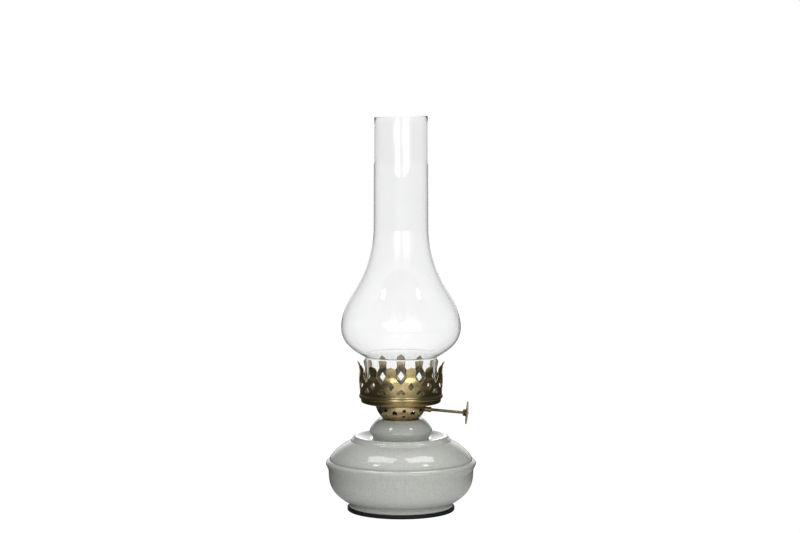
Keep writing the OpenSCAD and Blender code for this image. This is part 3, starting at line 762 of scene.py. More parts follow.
def keep_on_mesh(made, name, points, values):
    """Stores one number for each point, such as the distance to the nearest cut as a share of 2 mm."""
    lookup = {tuple(round(c, 2) for c in p): v for p, v in zip(points, values)}
    layer = made.data.attributes.new(name, "FLOAT", "POINT")
    found = [lookup.get(tuple(round(c / MM, 2) for c in v.co), 1.0) for v in made.data.vertices]
    layer.data.foreach_set("value", found)


print("lip at the edge and 0.5 mm from it:", round(lip(0), 2), round(lip(0.5), 2))

# %% [markdown]
# ## Petal crown
#
# The crown is one strip of brass, pierced with hearts and diamonds, with its top cut into
# thirteen petals whose heads curl outwards. One repeat is a petal with its diamond, and half
# a heart on each side, so that both sides of the repeat are straight lines that meet the next.

# %% The crown's wall
petals, first_petal, crown_t, crown_r = 13, 13.85, 0.5, 38.7
crown_line = (
    curve((38.1, 106.0), (39.3, 107.5), (0.6, 0.1), (0, 0.5), 7)
    + curve((39.3, 107.5), (38.45, 110.0), (0, 0.45), (0.5, 0.15), 9)
    + curve((38.45, 110.0), (38.5, 111.2), (-0.6, 0.3), (0, 0.4), 4)
    + curve((38.5, 111.2), (39.35, 124.5), (0.15, 0.5), (0, 0.4), 16)
    + curve((39.35, 124.5), (38.95, 130.4), (0, 0.4), (0, 0.4), 10)
    + curve((38.95, 130.4), (41.35, 139.2), (0, 0.4), (0.62, 0.3), 16))
crown_wall = Wall(crown_line)
pitch_mm = math.tau * crown_r / petals
z_notch, z_waist, z_wide, z_tip = 123.0, 129.6, 134.6, 139.2
waist, head, tip_h, tip_share = 7.7, 9.0, 0.8, 0.40


def petal_half(z):
    """Half the width of a petal at height z."""
    half = pitch_mm / 2
    if z < z_waist:
        u = (z - z_notch) / (z_waist - z_notch)
        return half + (waist / 2 - half) * (1 - (1 - u) ** 1.25)
    if z < z_wide:
        u = (z - z_waist) / (z_wide - z_waist)
        return (waist + (head - waist) * u * u * (3 - 2 * u)) / 2
    u = (z - z_wide) / (z_tip - tip_h - z_wide)
    if u < 1:
        return head / 2 * (tip_share + (1 - tip_share) * max(1 - u ** 3, 0) ** 0.55)
    v = (z - z_tip + tip_h) / tip_h
    return head / 2 * tip_share * max(1 - v, 0) ** 0.7


def straight_up(x, low, high, n, first=1):
    """Points on a line of the pattern that runs straight up at x, without its last."""
    return [(x, low + (high - low) * k / n) for k in range(first, n)]


def mirrored(line):
    """The line on the other side of the height axis, walked back."""
    return [(-x, y) for x, y in reversed(line)]


def crown_pattern():
    half = pitch_mm / 2
    s = crown_wall.along
    z_foot, heart_z, diamond_z = 106.0, 115.2, 121.0
    heart = ([(0, 0.1)] + curve((-0.25, -0.2), (-1.5, -2.2), (0.3, 0.3), (0.2, 0.3), 4)
             + curve((-1.5, -2.2), (-4.2, -0.7), (0.35, 0.5), (0, 0.7), 7)
             + curve((-4.2, -0.7), (0, 3.3), (0, 0.45), (0.3, 0.12), 9))
    bite = [(half + x, s(heart_z + z)) for x, z in single(heart, 0.05)]
    side = straight_up(half, s(z_foot), s(heart_z - 0.3), 8, 0)
    side += bite + straight_up(half, bite[-1][1], s(z_notch), 5)
    heights = [z_notch + (z_wide - z_notch) * k / 18 for k in range(19)]
    heights += [z_wide + (z_tip - tip_h - z_wide) * math.sin(math.pi / 2 * k / 10) for k in range(1, 11)]
    heights += [z_tip - tip_h + tip_h * k / 6 for k in range(1, 6)]
    edge = [(petal_half(z), s(z)) for z in heights]
    top = [(0, s(z_tip))]
    outline = side + edge + top + mirrored(side + edge)
    diamond = [(x, s(diamond_z + z)) for x, z in
               spaced(soften([(0, -4.2), (3.3, 0), (0, 4.6), (-3.3, 0)], 0.5, n=2), 0.6)]
    cuts = [bite, [(-x, y) for x, y in bite], edge + top + mirrored(edge)]
    free = sides(diamond) + [e for line in cuts for e in zip(line, line[1:])]
    flat, triangles, near = fill(outline, [diamond], free, 0.85)
    return [(x / pitch_mm, y) for x, y in flat], triangles, near


pattern = crown_pattern()
print("one petal:", len(pattern[1]), "triangles")

# %% [markdown]
# ## Antiqued brass
#
# The burner is brass that was darkened and then rubbed back: the hollows stay brown with a
# hint of green, and the raised places come up pale gold. The distance to the nearest cut,
# which the flat patterns keep, turns into a thin bright line along each edge: partly rubbed
# wear, partly a painted highlight where the edges catch the light. The inner face of the sheet
# takes a colour of its own, painted near black in the basket as painted shade. The crown is
# made darker towards its foot than at its petals.

# %% The antiqued finish
def antique(name, bright, dark, rough, patina, worn=0.8, inside_colour_and_shade=(0.52, 0.43, 0.25), low=0.0):
    """Brass that is bright along its cuts, partly from rubbed wear and partly as a painted highlight, with
    its own colour on its inner face, painted shade in the basket, and darker below the height low, in mm.
    """
    made = brass(name, bright, dark, rough, patina, grain=(1, 1, 5))
    near = made.node("ShaderNodeAttribute", {"attribute_name": "to_cut"}, out="Fac")
    within = made.node("ShaderNodeAttribute", {"attribute_name": "within"}, out="Fac")
    # The bright line along each cut is partly rubbed wear, partly a painted highlight where the edges catch
    # the light.
    rubbed_edge_highlight = made.ramp(near, (0.0, 1.0), (0.10, 0.75), (0.24, 0.0))
    rubbed_edge_highlight = rubbed_edge_highlight * (0.5 + made.fine * 0.8) * worn
    outer = made.mix(rubbed_edge_highlight.kept(), made.tone, (0.86, 0.72, 0.42))
    # The crown is made darker towards its foot, below the height low.
    darker_below = made.ramp((made.axis("Z") / MM - low) / 10, (0.0, 0.58), (1.0, 1.0))
    outer = made.mix(1.0, outer, darker_below, "MULTIPLY")
    # The inner face of the sheet takes its own colour; in the basket it is painted near black, as painted
    # shade inside the basket.
    made.surface(Base_Color=made.mix(within, outer, inside_colour_and_shade))
    return made.material


aged_brass = antique("aged_brass", (0.82, 0.66, 0.335), (0.27, 0.20, 0.07), 0.18, 0.92, low=110.0)
turned_brass = brass("turned_brass", (0.44, 0.335, 0.145), (0.17, 0.13, 0.05), 0.19, grain=(1, 1, 8)).material
sooty_brass = brass("sooty_brass", (0.20, 0.15, 0.075), (0.06, 0.047, 0.03), 0.34, grain=(1, 1, 4)).material


def hand_bent(share, s, r, z, angle):
    """Petals are bent by hand: the ones at the back stand a little higher."""
    climb = max(0.0, (z - 112) / 28)
    return r, z + climb * (0.75 * (1 - math.cos(angle)) - 0.3)


crown = cut_sheet("crown_petals", crown_wall, pattern, petals, first_petal, crown_t, "gallery",
                  aged_brass, ["gallery_crown"], warp=hand_bent)
print("crown:", len(crown.data.polygons), "faces")

# %% [markdown]
# ## Basket
#
# The basket is a pierced cone that lets air in under the flame, with a plain band over it
# that slips inside the gallery. Its pattern repeats eight times: a large heart on each seam
# of the repeat, and a small heart with a triangle below it in the middle.

# %% The basket's pattern
z_burner, z_cone, z_rim = 87.5, 98.5, 106.5
foot_b, rim_b, middle_b, cells, first_cell, basket_t = 18.6, 23.7, 21.3, 8, 7.5, 0.6
basket_line = (
    curve((12.4, z_burner), (foot_b - 1.2, z_burner), (0.3, 0), (0.3, 0), 6)
    + curve((foot_b - 1.2, z_burner), (foot_b, z_burner + 0.8), (0.55, 0), (0.25, 0.5), 6)
    + curve((foot_b, z_burner + 0.8), (rim_b, z_cone), (0.46, 0.3), (0.14, 0.4), 18)
    + [(rim_b, z_cone + 4), (rim_b, z_rim)])
basket_wall = Wall(basket_line)
cell_mm = math.tau * middle_b / cells


def basket_pattern():
    half = cell_mm / 2
    s = basket_wall.along
    z_heart, z_small, z_triangle = 94.3, 96.2, 90.6
    heart = ([(0, -1.3)] + curve((0, -1.3), (-1.0, -2.0), (0.2, 0.5), (0.5, 0.1), 3)
             + curve((-1.0, -2.0), (-2.4, -0.5), (0.5, 0), (0, 0.5), 5)
             + curve((-2.4, -0.5), (0, 2.4), (0, 0.45), (0.4, 0.25), 6))
    heart = single(heart, 0.05)
    bottom, top = basket_wall.run[0], basket_wall.run[-1]
    bite = [(half + x, s(z_heart + z)) for x, z in heart]
    side = straight_up(half, bottom, bite[0][1], 9, 0) + bite
    side += straight_up(half, bite[-1][1], top, 10) + [(half, top)]
    rim = [(half - cell_mm * k / 16, top) for k in range(1, 16)]
    foot = [(-half + cell_mm * k / 16, bottom) for k in range(1, 16)]
    outline = side + rim + mirrored(side) + foot
    whole = heart + mirrored(heart[1:-1])
    small = [(x * 0.72, s(z_small + z * 0.78)) for x, z in whole]
    triangle = [(x, s(z_triangle + z)) for x, z in
                spaced(soften([(0, -1.4), (1.9, 1.0), (-1.9, 1.0)], 0.45, n=2), 0.5)]
    free = sides(small) + sides(triangle)
    free += list(zip(bite, bite[1:])) + [((-a[0], a[1]), (-b[0], b[1])) for a, b in zip(bite, bite[1:])]
    flat, triangles, near = fill(outline, [small, triangle], free, 0.9, (0.22, 0.5))
    return [(x / cell_mm, y) for x, y in flat], triangles, near


def thin_lip(distance):
    return lip(distance, 0.07, 0.5)


# The basket's inner face is painted near black: painted shade inside the basket.
basket_brass = antique("basket_brass", (0.86, 0.68, 0.39), (0.30, 0.215, 0.09), 0.2, 0.85, 0.35,
                       inside_colour_and_shade=(0.04, 0.03, 0.02))
basket = cut_sheet("basket_pierced", basket_wall, basket_pattern(), cells, first_cell, basket_t, "burner",
                   basket_brass, ["burner_basket"], raised=thin_lip)
print("basket:", len(basket.data.polygons), "faces")

# %% [markdown]
# ## Floor, skirt and tubes of the burner
#
# Under the basket a screw skirt goes into the collar. The flat wick tube passes through the
# basket's floor and carries the bracket of the winding spindle. A narrow vent tube lets air
# into the font as the oil is drawn up.

# %% Skirt, floor, vent and wick tube
def screw_section(r_out, low, high, t, pitch=1.0, depth=0.14):
    """A tube whose outside shows the rounded ridges of a shallow rolled thread."""
    line = [(r_out - t, low + 0.1), (r_out - t * 0.6, low)]
    steps = 60
    for k in range(steps + 1):
        z = low + 0.4 + (high - low - 0.8) * k / steps
        wave = 0.5 - 0.5 * math.cos(math.tau * (z - low) / pitch)
        line.append((r_out - depth * wave, z))
    return line + [(r_out - t * 0.6, high), (r_out - t, high - 0.1)]


skirt_r, skirt_l = 13.2, 8
out_w, out_t, in_w, in_t = 21.8, 3.6, 20.6, 2.4
vent_r, vent_reach = 1.5, 4
vent_y = -(out_t / 2 + vent_r + 3)
turn("skirt_screw", screw_section(skirt_r, z_burner - skirt_l, z_burner, 0.9), "burner", inner_brass,
     ["burner_skirt"])
turn("vent_pipe", ring_section(1.1, vent_r, z_burner - vent_reach, z_burner + vent_reach, 0.12), "burner",
     inner_brass, ["vent_tube"], steps=32, place=Matrix.Translation((0, vent_y * MM, 0)))


def flat_bar(width, thick, n=9):
    """The section of a flat bar with round edges, seen from above."""
    r, reach = thick / 2, (width - thick) / 2
    turns = [math.radians(-90 + 180 * k / n) for k in range(n + 1)]
    arc = [(reach + r * math.cos(a), r * math.sin(a)) for a in turns]
    return arc + [(-x, -y) for x, y in arc]


def plate(name, loops, low, high, body, finish, nodes, step=1.6, warp=None):
    """A flat sheet between two heights, cut by the loops after the first."""
    segments = [side for loop in loops for side in sides(loop)]
    flat, triangles, near = fill(loops[0], loops[1:], segments, step, ())
    size = len(flat)
    points = [(x, y, high) for x, y in flat] + [(x, y, low) for x, y in flat]
    faces = triangles + [tuple(i + size for i in reversed(t)) for t in triangles]
    faces += [(b, a, a + size, b + size) for a, b in open_edges(triangles)]
    if warp:
        points = [warp(*p) for p in points]
    made = piece(name, points, faces, body, finish, nodes)
    keep_on_mesh(made, "to_cut", points, [min(1, d / 2) for d in near + near])
    return made


def circle(r, n, centre=(0, 0)):
    return [(centre[0] + r * math.cos(a), centre[1] + r * math.sin(a)) for a in around(n)]


floor_r, floor_t = 16.48, 0.6
tube_hole, vent_hole = spaced(flat_bar(21.85, 3.65), 1.5), circle(1.52, 24, (0, vent_y))
floor_disc = plate("floor_plate", [circle(floor_r, 96), tube_hole, vent_hole], z_burner + floor_t,
                   z_burner + 2 * floor_t, "burner", sooty_brass, ["basket_floor"])
print("floor plate:", len(floor_disc.data.polygons), "faces")

# %% [markdown]
# The wick tube is one closed run of sheet: its outline is the ring between two flat bars.
# Both ends of its wall are eased, so that no sharp edge frays the wick as it is wound up.

# %% The wick tube
z_tube_top, z_tube_foot = 115.5, 79.0
spindle_y, spindle_z, tilt = 5.7, 96.4, math.radians(5.2)
wheel_gap, window_r, window_w = 5.5, 4.8, 1.8


def on_spindle(along=0.0):
    """Lays a piece that was drawn along Z on the spindle's axis, its foot at the given distance."""
    tilted = Matrix.Rotation(math.pi / 2 + tilt, 4, "Y")
    lay = Matrix.Translation((0, spindle_y * MM, spindle_z * MM)) @ tilted
    return lay @ Matrix.Translation((0, 0, along * MM))


def skin(name, loops, body, finish, nodes, closed=True, sharp=38):
    """Joins loops of equal count with quads; closed joins the last loop to the first."""
    count = len(loops[0])
    points = [p for loop in loops for p in loop]
    faces = []
    pairs = len(loops) if closed else len(loops) - 1
    for j in range(pairs):
        a, b = j * count, ((j + 1) % len(loops)) * count
        faces += [(a + i, a + (i + 1) % count, b + (i + 1) % count, b + i) for i in range(count)]
    if not closed:
        faces += [tuple(reversed(range(count))), tuple(range(pairs * count, len(loops) * count))]
    return piece(name, points, faces, body, finish, nodes, sharp)


def bar_loop(width, thick, z, n=9):
    return [(x, y, z) for x, y in flat_bar(width, thick, n)]


ease, foot_h, rim_h, rows = 0.3, 0.2, 1.0, 12
tube_side = z_tube_top - z_tube_foot - foot_h - rim_h
tube = [bar_loop(out_w - ease, out_t - ease, z_tube_foot), bar_loop(out_w, out_t, z_tube_foot + foot_h)]
tube += [bar_loop(out_w, out_t, z_tube_foot + foot_h + tube_side * k / rows) for k in range(1, rows + 1)]
tube += [bar_loop(out_w, out_t, z_tube_top - ease), bar_loop(out_w - ease, out_t - ease, z_tube_top),
         bar_loop(in_w + ease, in_t + ease, z_tube_top), bar_loop(in_w, in_t, z_tube_top - ease),
         bar_loop(in_w, in_t, z_tube_foot + foot_h), bar_loop(in_w + ease, in_t + ease, z_tube_foot)]
wick_tube = skin("wick_tube_flat", tube, "burner", sooty_brass, ["wick_tube"])


def windows(made):
    """Cuts the slots through which the spiked wheels reach the wick."""
    for k in (-1, 0, 1):
        work = bmesh.new()
        bmesh.ops.create_cone(work, cap_ends=True, segments=48, radius1=window_r * MM,
                              radius2=window_r * MM, depth=window_w * MM)
        bmesh.ops.transform(work, matrix=on_spindle(k * wheel_gap), verts=work.verts)
        cutter_mesh = bpy.data.meshes.new("cutter")
        work.to_mesh(cutter_mesh)
        work.free()
        cutter = bpy.data.objects.new("cutter", cutter_mesh)
        bpy.context.scene.collection.objects.link(cutter)
        cut = made.modifiers.new("window", "BOOLEAN")
        cut.object, cut.operation, cut.solver = cutter, "DIFFERENCE", "EXACT"
        bake_modifiers(made)
        bpy.data.objects.remove(cutter)


def bake_modifiers(made):
    """Puts the result of the modifiers into the mesh."""
    bpy.context.view_layer.update()
    result = bpy.data.meshes.new_from_object(made.evaluated_get(bpy.context.evaluated_depsgraph_get()))
    made.modifiers.clear()
    made.data = result


windows(wick_tube)
print("wick tube:", len(wick_tube.data.polygons), "faces")

# %% [markdown]
# ## Spindle
#
# The spindle runs through the burner, just behind the wick, and slopes down a little towards
# its knob. Everything on it is turned about one sloping axis, so each outline is drawn along
# Z and then laid over by one matrix. Three spiked wheels grip the wick. The knob is a thin
# disc, dished like a saucer, with a fine knurl round its rim for the fingertips.

# %% Shaft, bush and hub
dark_brass = brass("dark_brass", (0.24, 0.185, 0.095), (0.06, 0.048, 0.025), 0.28, grain=(5, 1, 1)).material
shaft_r, knob_reach, hub_l, knob_t, knob_dish, knob_r = 1.4, 63.4, 3.8, 1.0, 0.6, 10.8
housing_w, washer_t = 15.4, 0.5
start = -(housing_w / 2 + 2 * washer_t + 0.3)
shaft_l = knob_reach - start + 0.6
shaft = ([(0, 0)] + curve((0.9, 0), (shaft_r, 0.5), *QUARTER_UP, 4)
         + [(shaft_r, 4), (shaft_r, shaft_l / 2), (shaft_r, shaft_l - 0.8)]
         + curve((shaft_r, shaft_l - 0.7), (0.5, shaft_l), (0, 0.5), (0.5, 0), 5) + [(0, shaft_l)])
turn("shaft_rod", shaft, "spindle", dark_brass, ["spindle_shaft"], steps=48, closed=False,
     place=on_spindle(start))
turn("shaft_washer", ring_section(shaft_r, shaft_r + 1.2, 0, washer_t, 0.12), "spindle", dark_brass,
     ["spindle_washer"], steps=48, place=on_spindle(-(housing_w / 2 + 0.3 + washer_t)))

bush_r, bush_l, bush_bore, bush_mouth = 2.35, 8.0, 1.45, 1.6
bush_start = math.sqrt(rim_b ** 2 - spindle_y ** 2) - 2.2
bush = ([(bush_bore, 0.1), (bush_mouth, 0), (bush_r - 0.2, 0), (bush_r, 0.2), (bush_r, bush_l - 2.6)]
        + curve((bush_r, bush_l - 2.5), (bush_r + 0.35, bush_l - 1.9), (0, 0.5), (0.3, 0), 4)
        + curve((bush_r + 0.35, bush_l - 1.3), (bush_r, bush_l - 0.8), (0, 0.4), (0.6, 0.1), 4)
        + [(bush_r - 0.05, bush_l - 0.35)]
        + curve((bush_r - 0.05, bush_l - 0.3), (bush_r - 0.4, bush_l), *QUARTER, 3)
        + [(bush_mouth, bush_l), (bush_bore, bush_l - 0.1)])
turn("bush_turned", bush, "burner", turned_brass, ["spindle_bush"], steps=48,
     place=on_spindle(bush_start))

bead = hub_l / 4
hub = [(shaft_r, 0)]
for ring_r, swell, middle in ((2.7, 0.5, bead), (3.03, 0.6, 3 * bead)):
    for k in range(11):
        a = math.radians(-90 + 18 * k)
        hub.append((ring_r + swell * bead * math.cos(a), middle + bead * math.sin(a)))
hub.append((shaft_r, hub_l))
turn("knob_collar", hub, "spindle", dark_brass, ["knob_hub"], steps=64,
     place=on_spindle(knob_reach - knob_t - hub_l))
print("shaft, mm long:", round(shaft_l, 1))

# %% Wheels and knob
def wheel(name, along, nodes):
    """A thin wheel with short spikes that bite into the wick."""
    spikes, r, root, t = 14, 4.5, 3.5, 1.2
    b = math.tau / spikes
    rim = []
    for a in around(spikes):
        rim += [(a - 0.30 * b, root), (a - 0.06 * b, r - 0.08), (a, r), (a + 0.06 * b, r - 0.08),
                (a + 0.30 * b, root)]
    outer = [(q * math.cos(a), q * math.sin(a)) for a, q in rim]
    bore = [(shaft_r * math.cos(a), shaft_r * math.sin(a)) for a, _ in rim]
    worn = [(x * 0.965, y * 0.965) for x, y in outer]
    rings = ((outer, 0.15), (outer, t - 0.15), (worn, t), (bore, t), (bore, 0), (worn, 0))
    loops = [[(x, y, z) for x, y in ring] for ring, z in rings]
    made = skin(name, loops, "spindle", inner_brass, nodes)
    made.data.transform(on_spindle(along - t / 2))
    return made


for k in (-1, 0, 1):
    wheel("spiked_wheel_%d" % (k + 2), k * wheel_gap, ["wick_wheel_%d" % (k + 2)])

knob_finish = antique("knob_brass", (0.29, 0.275, 0.20), (0.11, 0.105, 0.08), 0.30, 1.0, 0.5)
face = [(shaft_r, 0)] + curve((3.8, 0), (knob_r - 0.5, -knob_dish + 0.12), (0.5, 0), (0.3, 0.3), 16)


def knurled(points, count=60, depth=0.16):
    """Draws the rim in and out in fine teeth."""
    shaped = []
    for x, y, z in points:
        r, a = math.hypot(x, y), math.atan2(y, x)
        if r > knob_r - 1.0:
            share = min(1, (r - knob_r + 1.0) / 0.8)
            r -= share * depth * (0.5 + 0.5 * math.cos(count * a))
        shaped.append((r * math.cos(a), r * math.sin(a), z))
    return shaped


rim = [(knob_r - 0.15, -knob_dish - 0.1), (knob_r, -knob_dish - 0.35), (knob_r, -knob_dish - 0.75),
       (knob_r - 0.2, -knob_dish - 1.0)]
back = [(r, z - knob_t) for r, z in reversed(face)]
back[-1] = (shaft_r, -knob_t)
knob_points, knob_faces = turned(face + rim + back, 240)
piece("knob_saucer", knurled(knob_points), knob_faces, "spindle", knob_finish, ["knob_disc"],
      sharp=50, place=on_spindle(knob_reach))
print("knob, mm across:", 2 * knob_r)

# %% [markdown]
# The housing is a small bracket bent from strip: a U whose two cheeks carry the spindle.
# It is drawn as the U seen from above, raised by its height, with its bends rounded.

# %% Wheel housing
def strip_loop(path, t):
    """Both sides of a bent strip of thickness t, as one closed line."""
    far = [(p[0] + t * n[0], p[1] + t * n[1]) for p, n in zip(path, lefts(path))]
    return path + far[::-1]


def raised_strip(name, loop, low, high, body, finish, nodes):
    loops = [[(x, y, z) for x, y in loop] for z in (low, high)]
    made = skin(name, loops, body, finish, nodes, closed=False, sharp=30)
    soft = made.modifiers.new("edges", "BEVEL")
    soft.width, soft.segments, soft.limit_method, soft.angle_limit = 0.12 * MM, 2, "ANGLE", math.radians(50)
    bake_modifiers(made)
    made.data.set_sharp_from_angle(angle=math.radians(40))
    return made


half_w, half_h, near_y, far_y = housing_w / 2, 5.5, 1.85, 11.8
bend = [(-half_w, near_y), (-half_w, far_y), (half_w, far_y), (half_w, near_y)]
bend = soften(bend, 1.2, closed=False, n=5)
housing = raised_strip("wheel_bracket", strip_loop(bend, -0.6), spindle_z - half_h, spindle_z + half_h,
                       "burner", inner_brass, ["wheel_housing"])
print("bracket:", len(housing.data.polygons), "faces")

# %% [markdown]
# ## Wick
#
# The wick is a flat woven cotton tape. It is made as one sheet of cloth: fine ribs run along
# it, where the warp lies, and the top is cut straight and a little charred from use. Its
# finish carries the plain weave as rows of bumps, and the oil darkens its lower part.

# %% Cotton tape
wick_w, wick_t, wick_low, wick_high = 20.0, 1.8, 19.9, 117.5
cotton = Finish("wick_cotton", Specular_IOR_Level=0.15, Sheen_Weight=0.4, Sheen_Roughness=0.5)
height = cotton.axis("Z")
across, up = cotton.axis("X") / (0.8 * MM), height / (0.9 * MM)
weft = up.sum("SINE", up * math.tau) * 0.5 + 0.5
warp = across.sum("SINE", across * math.tau) * 0.5 + 0.5
weave = weft * 0.5 + warp * 0.5
fuzz = cotton.noise(0.7, detail=5)
wet = cotton.ramp(height / (150 * MM) + cotton.noise(6) * 0.06, (0.58, 1.0), (0.70, 0.0))
char = cotton.ramp(height / (150 * MM) + cotton.noise(2.5) * 0.02, (0.782, 0.0), (0.797, 1.0))
yarn = cotton.mix(weave * 0.6 + fuzz * 0.3, (0.62, 0.58, 0.47), (0.90, 0.87, 0.78))
yarn = cotton.mix(wet * 0.55, yarn, (0.42, 0.37, 0.27))
cotton.surface(
    Base_Color=cotton.mix(char * 0.8, yarn, (0.06, 0.05, 0.045)),
    Roughness=0.92 - wet * 0.35,
    Normal=cotton.bump(weave * 0.8 + fuzz * 0.2, 0.16, 0.8))


def tape_loop(z, rib_h=0.045, rib_pitch=2.2):
    """The tape's section at one height: round edges and nine low ribs on each face."""
    loop = []
    for x, y in spaced(flat_bar(wick_w - 0.1, wick_t - 0.12, 7), 0.55):
        rib = rib_h * math.sin(math.tau * x / rib_pitch) if abs(x) < wick_w / 2 - 1 else 0
        loop.append((x, y + math.copysign(rib, y) * (1 if abs(y) > 0.3 else 0), z))
    return loop


rows, cut_h = 60, 0.25
loops = [tape_loop(wick_low + (wick_high - cut_h - wick_low) * k / rows) for k in range(rows + 1)]
loops.append([(x * 0.985, y * 0.8, wick_high) for x, y, _ in loops[-1]])
tape = skin("wick_tape", loops, "wick", cotton.material, ["wick"], closed=False, sharp=60)
print("wick, mm:", wick_w, "by", round(wick_high - wick_low, 1))

# %% [markdown]
# ## Gallery
#
# The gallery's dish is spun from sheet: it slips over the basket, sweeps out in a shallow
# saucer and ends in a plain band inside the crown. The perforated plate in it carries the
# flame dome and seats the chimney, which four leaf springs hold from the sides.

# %% Dish
z_dish, z_ring, z_crown = 99.8, 103.1, 106.1
rim_r, bore = 37.6, 24.0
dish = ([(bore, z_ring), (bore, z_dish + 0.8)]
        + curve((bore, z_dish + 0.7), (bore + 0.8, z_dish), *QUARTER, 5)
        + curve((bore + 0.9, z_dish), (rim_r - 0.2, z_ring - 0.1), (0.37, 0.44), (0, 0.66), 24)
        + curve((rim_r - 0.2, z_ring - 0.1), (rim_r, z_ring + 1.2), (0.3, 0.5), (0, 0.4), 6)
        + [(rim_r, z_crown - 0.35)]
        + curve((rim_r, z_crown - 0.3), (rim_r - 0.1, z_crown + 0.6), (0.0, 0.5), (0.0, 0.3), 4)
        + [(rim_r, z_crown + 1.4), (rim_r, z_crown + 3.7)])
turn("dish_spun", sheet(dish, 0.6), "gallery", turned_brass, ["gallery_dish"], steps=200)
print("dish, mm across:", 2 * rim_r)

# %% Air plate and flame dome
z_plate, z_deck = 106.6, 107.3
dome_foot, dome_h, dome_t, draught_r = 21.0, 14.6, 0.6, 0.9
glass_r, glass_room, lip_t, lip_h = 33.4, 2.2, 0.6, 2.7
holes = [spaced(flat_bar(22.4, 4.2), 1.5)]
for share, count in ((0.63, 24), (0.82, 30), (1.25, 40)):
    for k in range(count):
        a = math.tau * (k + 0.5) / count
        centre = (share * dome_foot * math.cos(a), share * dome_foot * math.sin(a))
        holes.append(circle(draught_r, 10, centre))
plate("draught_plate", [circle(rim_r - 0.62, 144)] + holes, z_plate, z_deck, "gallery", inner_brass,
      ["air_plate"], step=3.0)
lip_r = glass_r - glass_room - lip_t
turn("draught_lip", ring_section(lip_r - lip_t, lip_r, z_deck - 0.05, z_deck + lip_h), "gallery",
     inner_brass, steps=144)


def dome_pattern():
    """The dome laid flat from its top: lengths along it stay true."""
    r, h, count = dome_foot, dome_h, 160
    turns = [math.pi / 2 * k / count for k in range(count, -1, -1)]
    arc = [(r * math.cos(a), h * math.sin(a)) for a in turns]
    run = [0.0]
    for a, b in zip(arc, arc[1:]):
        run.append(run[-1] + math.dist(a, b))

    def flat_of(x, y):
        q = math.hypot(x, y)
        i = min(range(len(arc)), key=lambda k: abs(arc[k][0] - q))
        return (x * run[i] / max(q, 1e-6), y * run[i] / max(q, 1e-6))

    def shape(x, y, z):
        q = math.hypot(x, y)
        past = next((k for k, v in enumerate(run) if v > q), len(run) - 1)
        i = min(len(run) - 2, max(0, past - 1))
        t = (q - run[i]) / (run[i + 1] - run[i])
        pr, pz = (arc[i][k] + (arc[i + 1][k] - arc[i][k]) * t for k in (0, 1))
        nr, nz = pr / r ** 2, pz / h ** 2
        d = math.hypot(nr, nz)
        pr, pz = pr + z * nr / d, pz + z * nz / d
        return (pr * x / max(q, 1e-6), pr * y / max(q, 1e-6), z_deck + pz)

    slot = [flat_of(x, y) for x, y in spaced(flat_bar(25.0, 7.6, 12), 1.0)]
    return circle(run[-1], 120), slot, shape


dome_edge, dome_slot, dome_shape = dome_pattern()
dome = plate("flame_dome_shell", [dome_edge, dome_slot], -dome_t, 0.0, "gallery", sooty_brass,
             ["flame_dome"], step=1.4, warp=dome_shape)
turn("flame_dome_rim", ring_section(dome_foot - 0.5, dome_foot + 2, z_deck, z_deck + dome_t), "gallery",
     sooty_brass, steps=144)
print("flame dome:", len(dome.data.polygons), "faces")

# %% Leaf springs
spring_brass = brass("spring_brass", (0.60, 0.47, 0.24), (0.36, 0.27, 0.13), 0.30, 0.8, (1, 1, 6)).material
springs, spring_t, out_r, in_r, z_feet = 4, 0.4, 36.48, 33.7, z_deck + 0.1
z_hold, z_tongue = z_feet + 8.4, z_feet + 11.3
leaf = ([(out_r, z_feet), (out_r, z_feet + 1)]
        + curve((out_r, z_feet + 1.2), (in_r, z_hold), (0, 0.5), (0, 0.5), 14)
        + curve((in_r, z_hold), (in_r + 1.5, z_tongue), (0, 0.5), (0.4, 0.3), 8))
section = sheet(leaf, -spring_t)
for k in range(springs):
    loops = [[(r, y, z) for r, z in section] for y in (-3.0, -2.8, 0, 2.8, 3.0)]
    spring = skin("chimney_spring_%d" % (k + 1), loops, "gallery", spring_brass,
                  ["chimney_springs"], closed=False, sharp=40)
    spring.data.transform(Matrix.Rotation(math.tau * (k + 0.5) / springs, 4, "Z"))
print("springs:", springs)

# %% [markdown]
# ## Chimney
#
# The chimney is blown glass: a straight base that stands in the gallery, a sharp shoulder, a
# round bulb that draws in to the flue, and a fire-polished mouth. The shell is closed, with
# an outside, an inside and rounded rims, so light bends through it as it does through a real
# wall of glass. The wall is thicker at the base than at the mouth, the flue is a shade
# darker than the bulb, and the mouth is cut a little out of square.

# %% Glass
z_glass, z_in, z_bulb, z_turn, z_flue, z_mouth = 107.4, 143.4, 172.9, 206.4, 266.1, 370.1
bulb_r, flare_r, flue_r, mouth_r = 56.1, 43.8, 25.5, 25.1
glass_t, thinner, cut_high, cut_drop = 1.4, 0.2, 30, 1.3

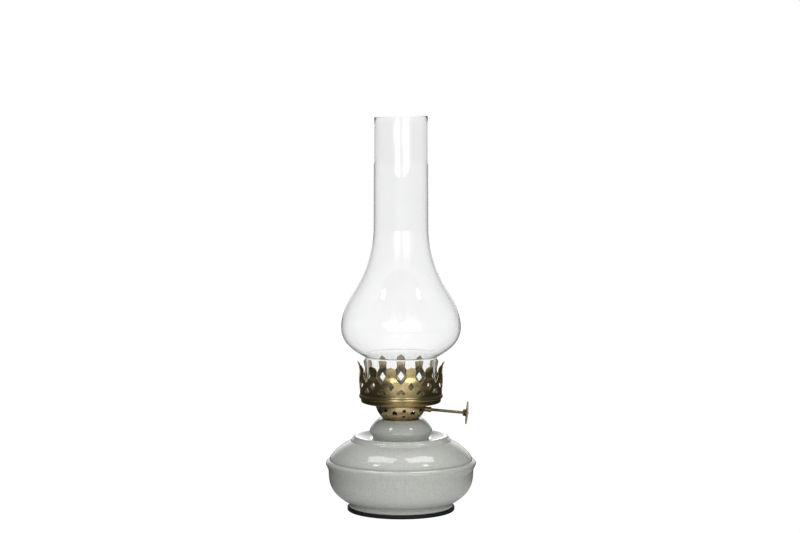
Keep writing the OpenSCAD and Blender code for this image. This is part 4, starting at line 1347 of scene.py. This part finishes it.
chimney_line = (
    [(glass_r, z_glass + 0.9), (glass_r, z_glass + 12), (glass_r, z_glass + 24), (glass_r, z_in - 0.8)]
    + curve((glass_r, z_in + 0.2), (glass_r + 1.7, z_in + 2.1), (0, 0.55), (0.6, 0.2), 8)
    + curve((glass_r + 1.9, z_in + 2.2), (bulb_r, z_bulb), (0.43, 0.21), (0, 0.55), 48)
    + curve((bulb_r, z_bulb), (flare_r, z_turn), (0, 0.46), (0.01, 0.01), 40)
    + curve((flare_r, z_turn), (flue_r, z_flue), (0.56, 0.27), (0, 0.4), 56)
    + [(flue_r - 0.4 * k / 16, z_flue + (z_mouth - 0.6 - z_flue) * k / 16) for k in range(1, 17)])
chimney_line = single(chimney_line, 0.02)
inner_line = []
for (r, z), (nr, nz) in zip(chimney_line, lefts(chimney_line)):
    t = glass_t - thinner * max(0, min(1, (z - z_in - 8) / 60))
    inner_line.append((r + t * nr, z + t * nz))


def rim_round(a, b, up):
    """A half-round rim between the outer and the inner wall."""
    mid, half = ((a[0] + b[0]) / 2, (a[1] + b[1]) / 2), math.dist(a, b) / 2
    sense = 1 if up else -1
    return [(mid[0] + sense * half * math.cos(t), mid[1] + sense * half * 0.85 * math.sin(t))
            for t in (math.pi * k / 10 for k in range(1, 10))]


shell = chimney_line + rim_round(chimney_line[-1], inner_line[-1], True) + inner_line[::-1]
shell += rim_round(chimney_line[0], inner_line[0], False)
clear = Finish("clear_glass", Transmission_Weight=1.0, IOR=1.47)
haze = clear.noise(22, detail=3)
shade = clear.ramp((clear.axis("Z") / MM - 200) / 70, (0.0, 1.0), (1.0, 0.965))
body_tint = clear.mix(haze, (0.955, 0.962, 0.958), (0.985, 0.987, 0.986))
clear_glass = clear.surface(
    Base_Color=clear.mix(1.0, body_tint, shade, "MULTIPLY"),
    Roughness=clear.ramp(haze, (0.45, 0.0), (0.8, 0.018)),
    Normal=clear.bump(clear.noise(45, detail=1, squeeze=(1, 1, 0.5)), 0.12, 0.35))
glass = turn("chimney_glass", shell, "chimney", clear_glass, ["chimney"], 256, sharp=45)
for v in glass.data.vertices:
    near_mouth = max(0.0, v.co.z / MM - z_mouth + cut_high) / cut_high
    v.co.z -= cut_drop * MM * near_mouth * (0.5 - v.co.x / MM / (2 * mouth_r))
print("chimney:", len(glass.data.polygons), "faces")
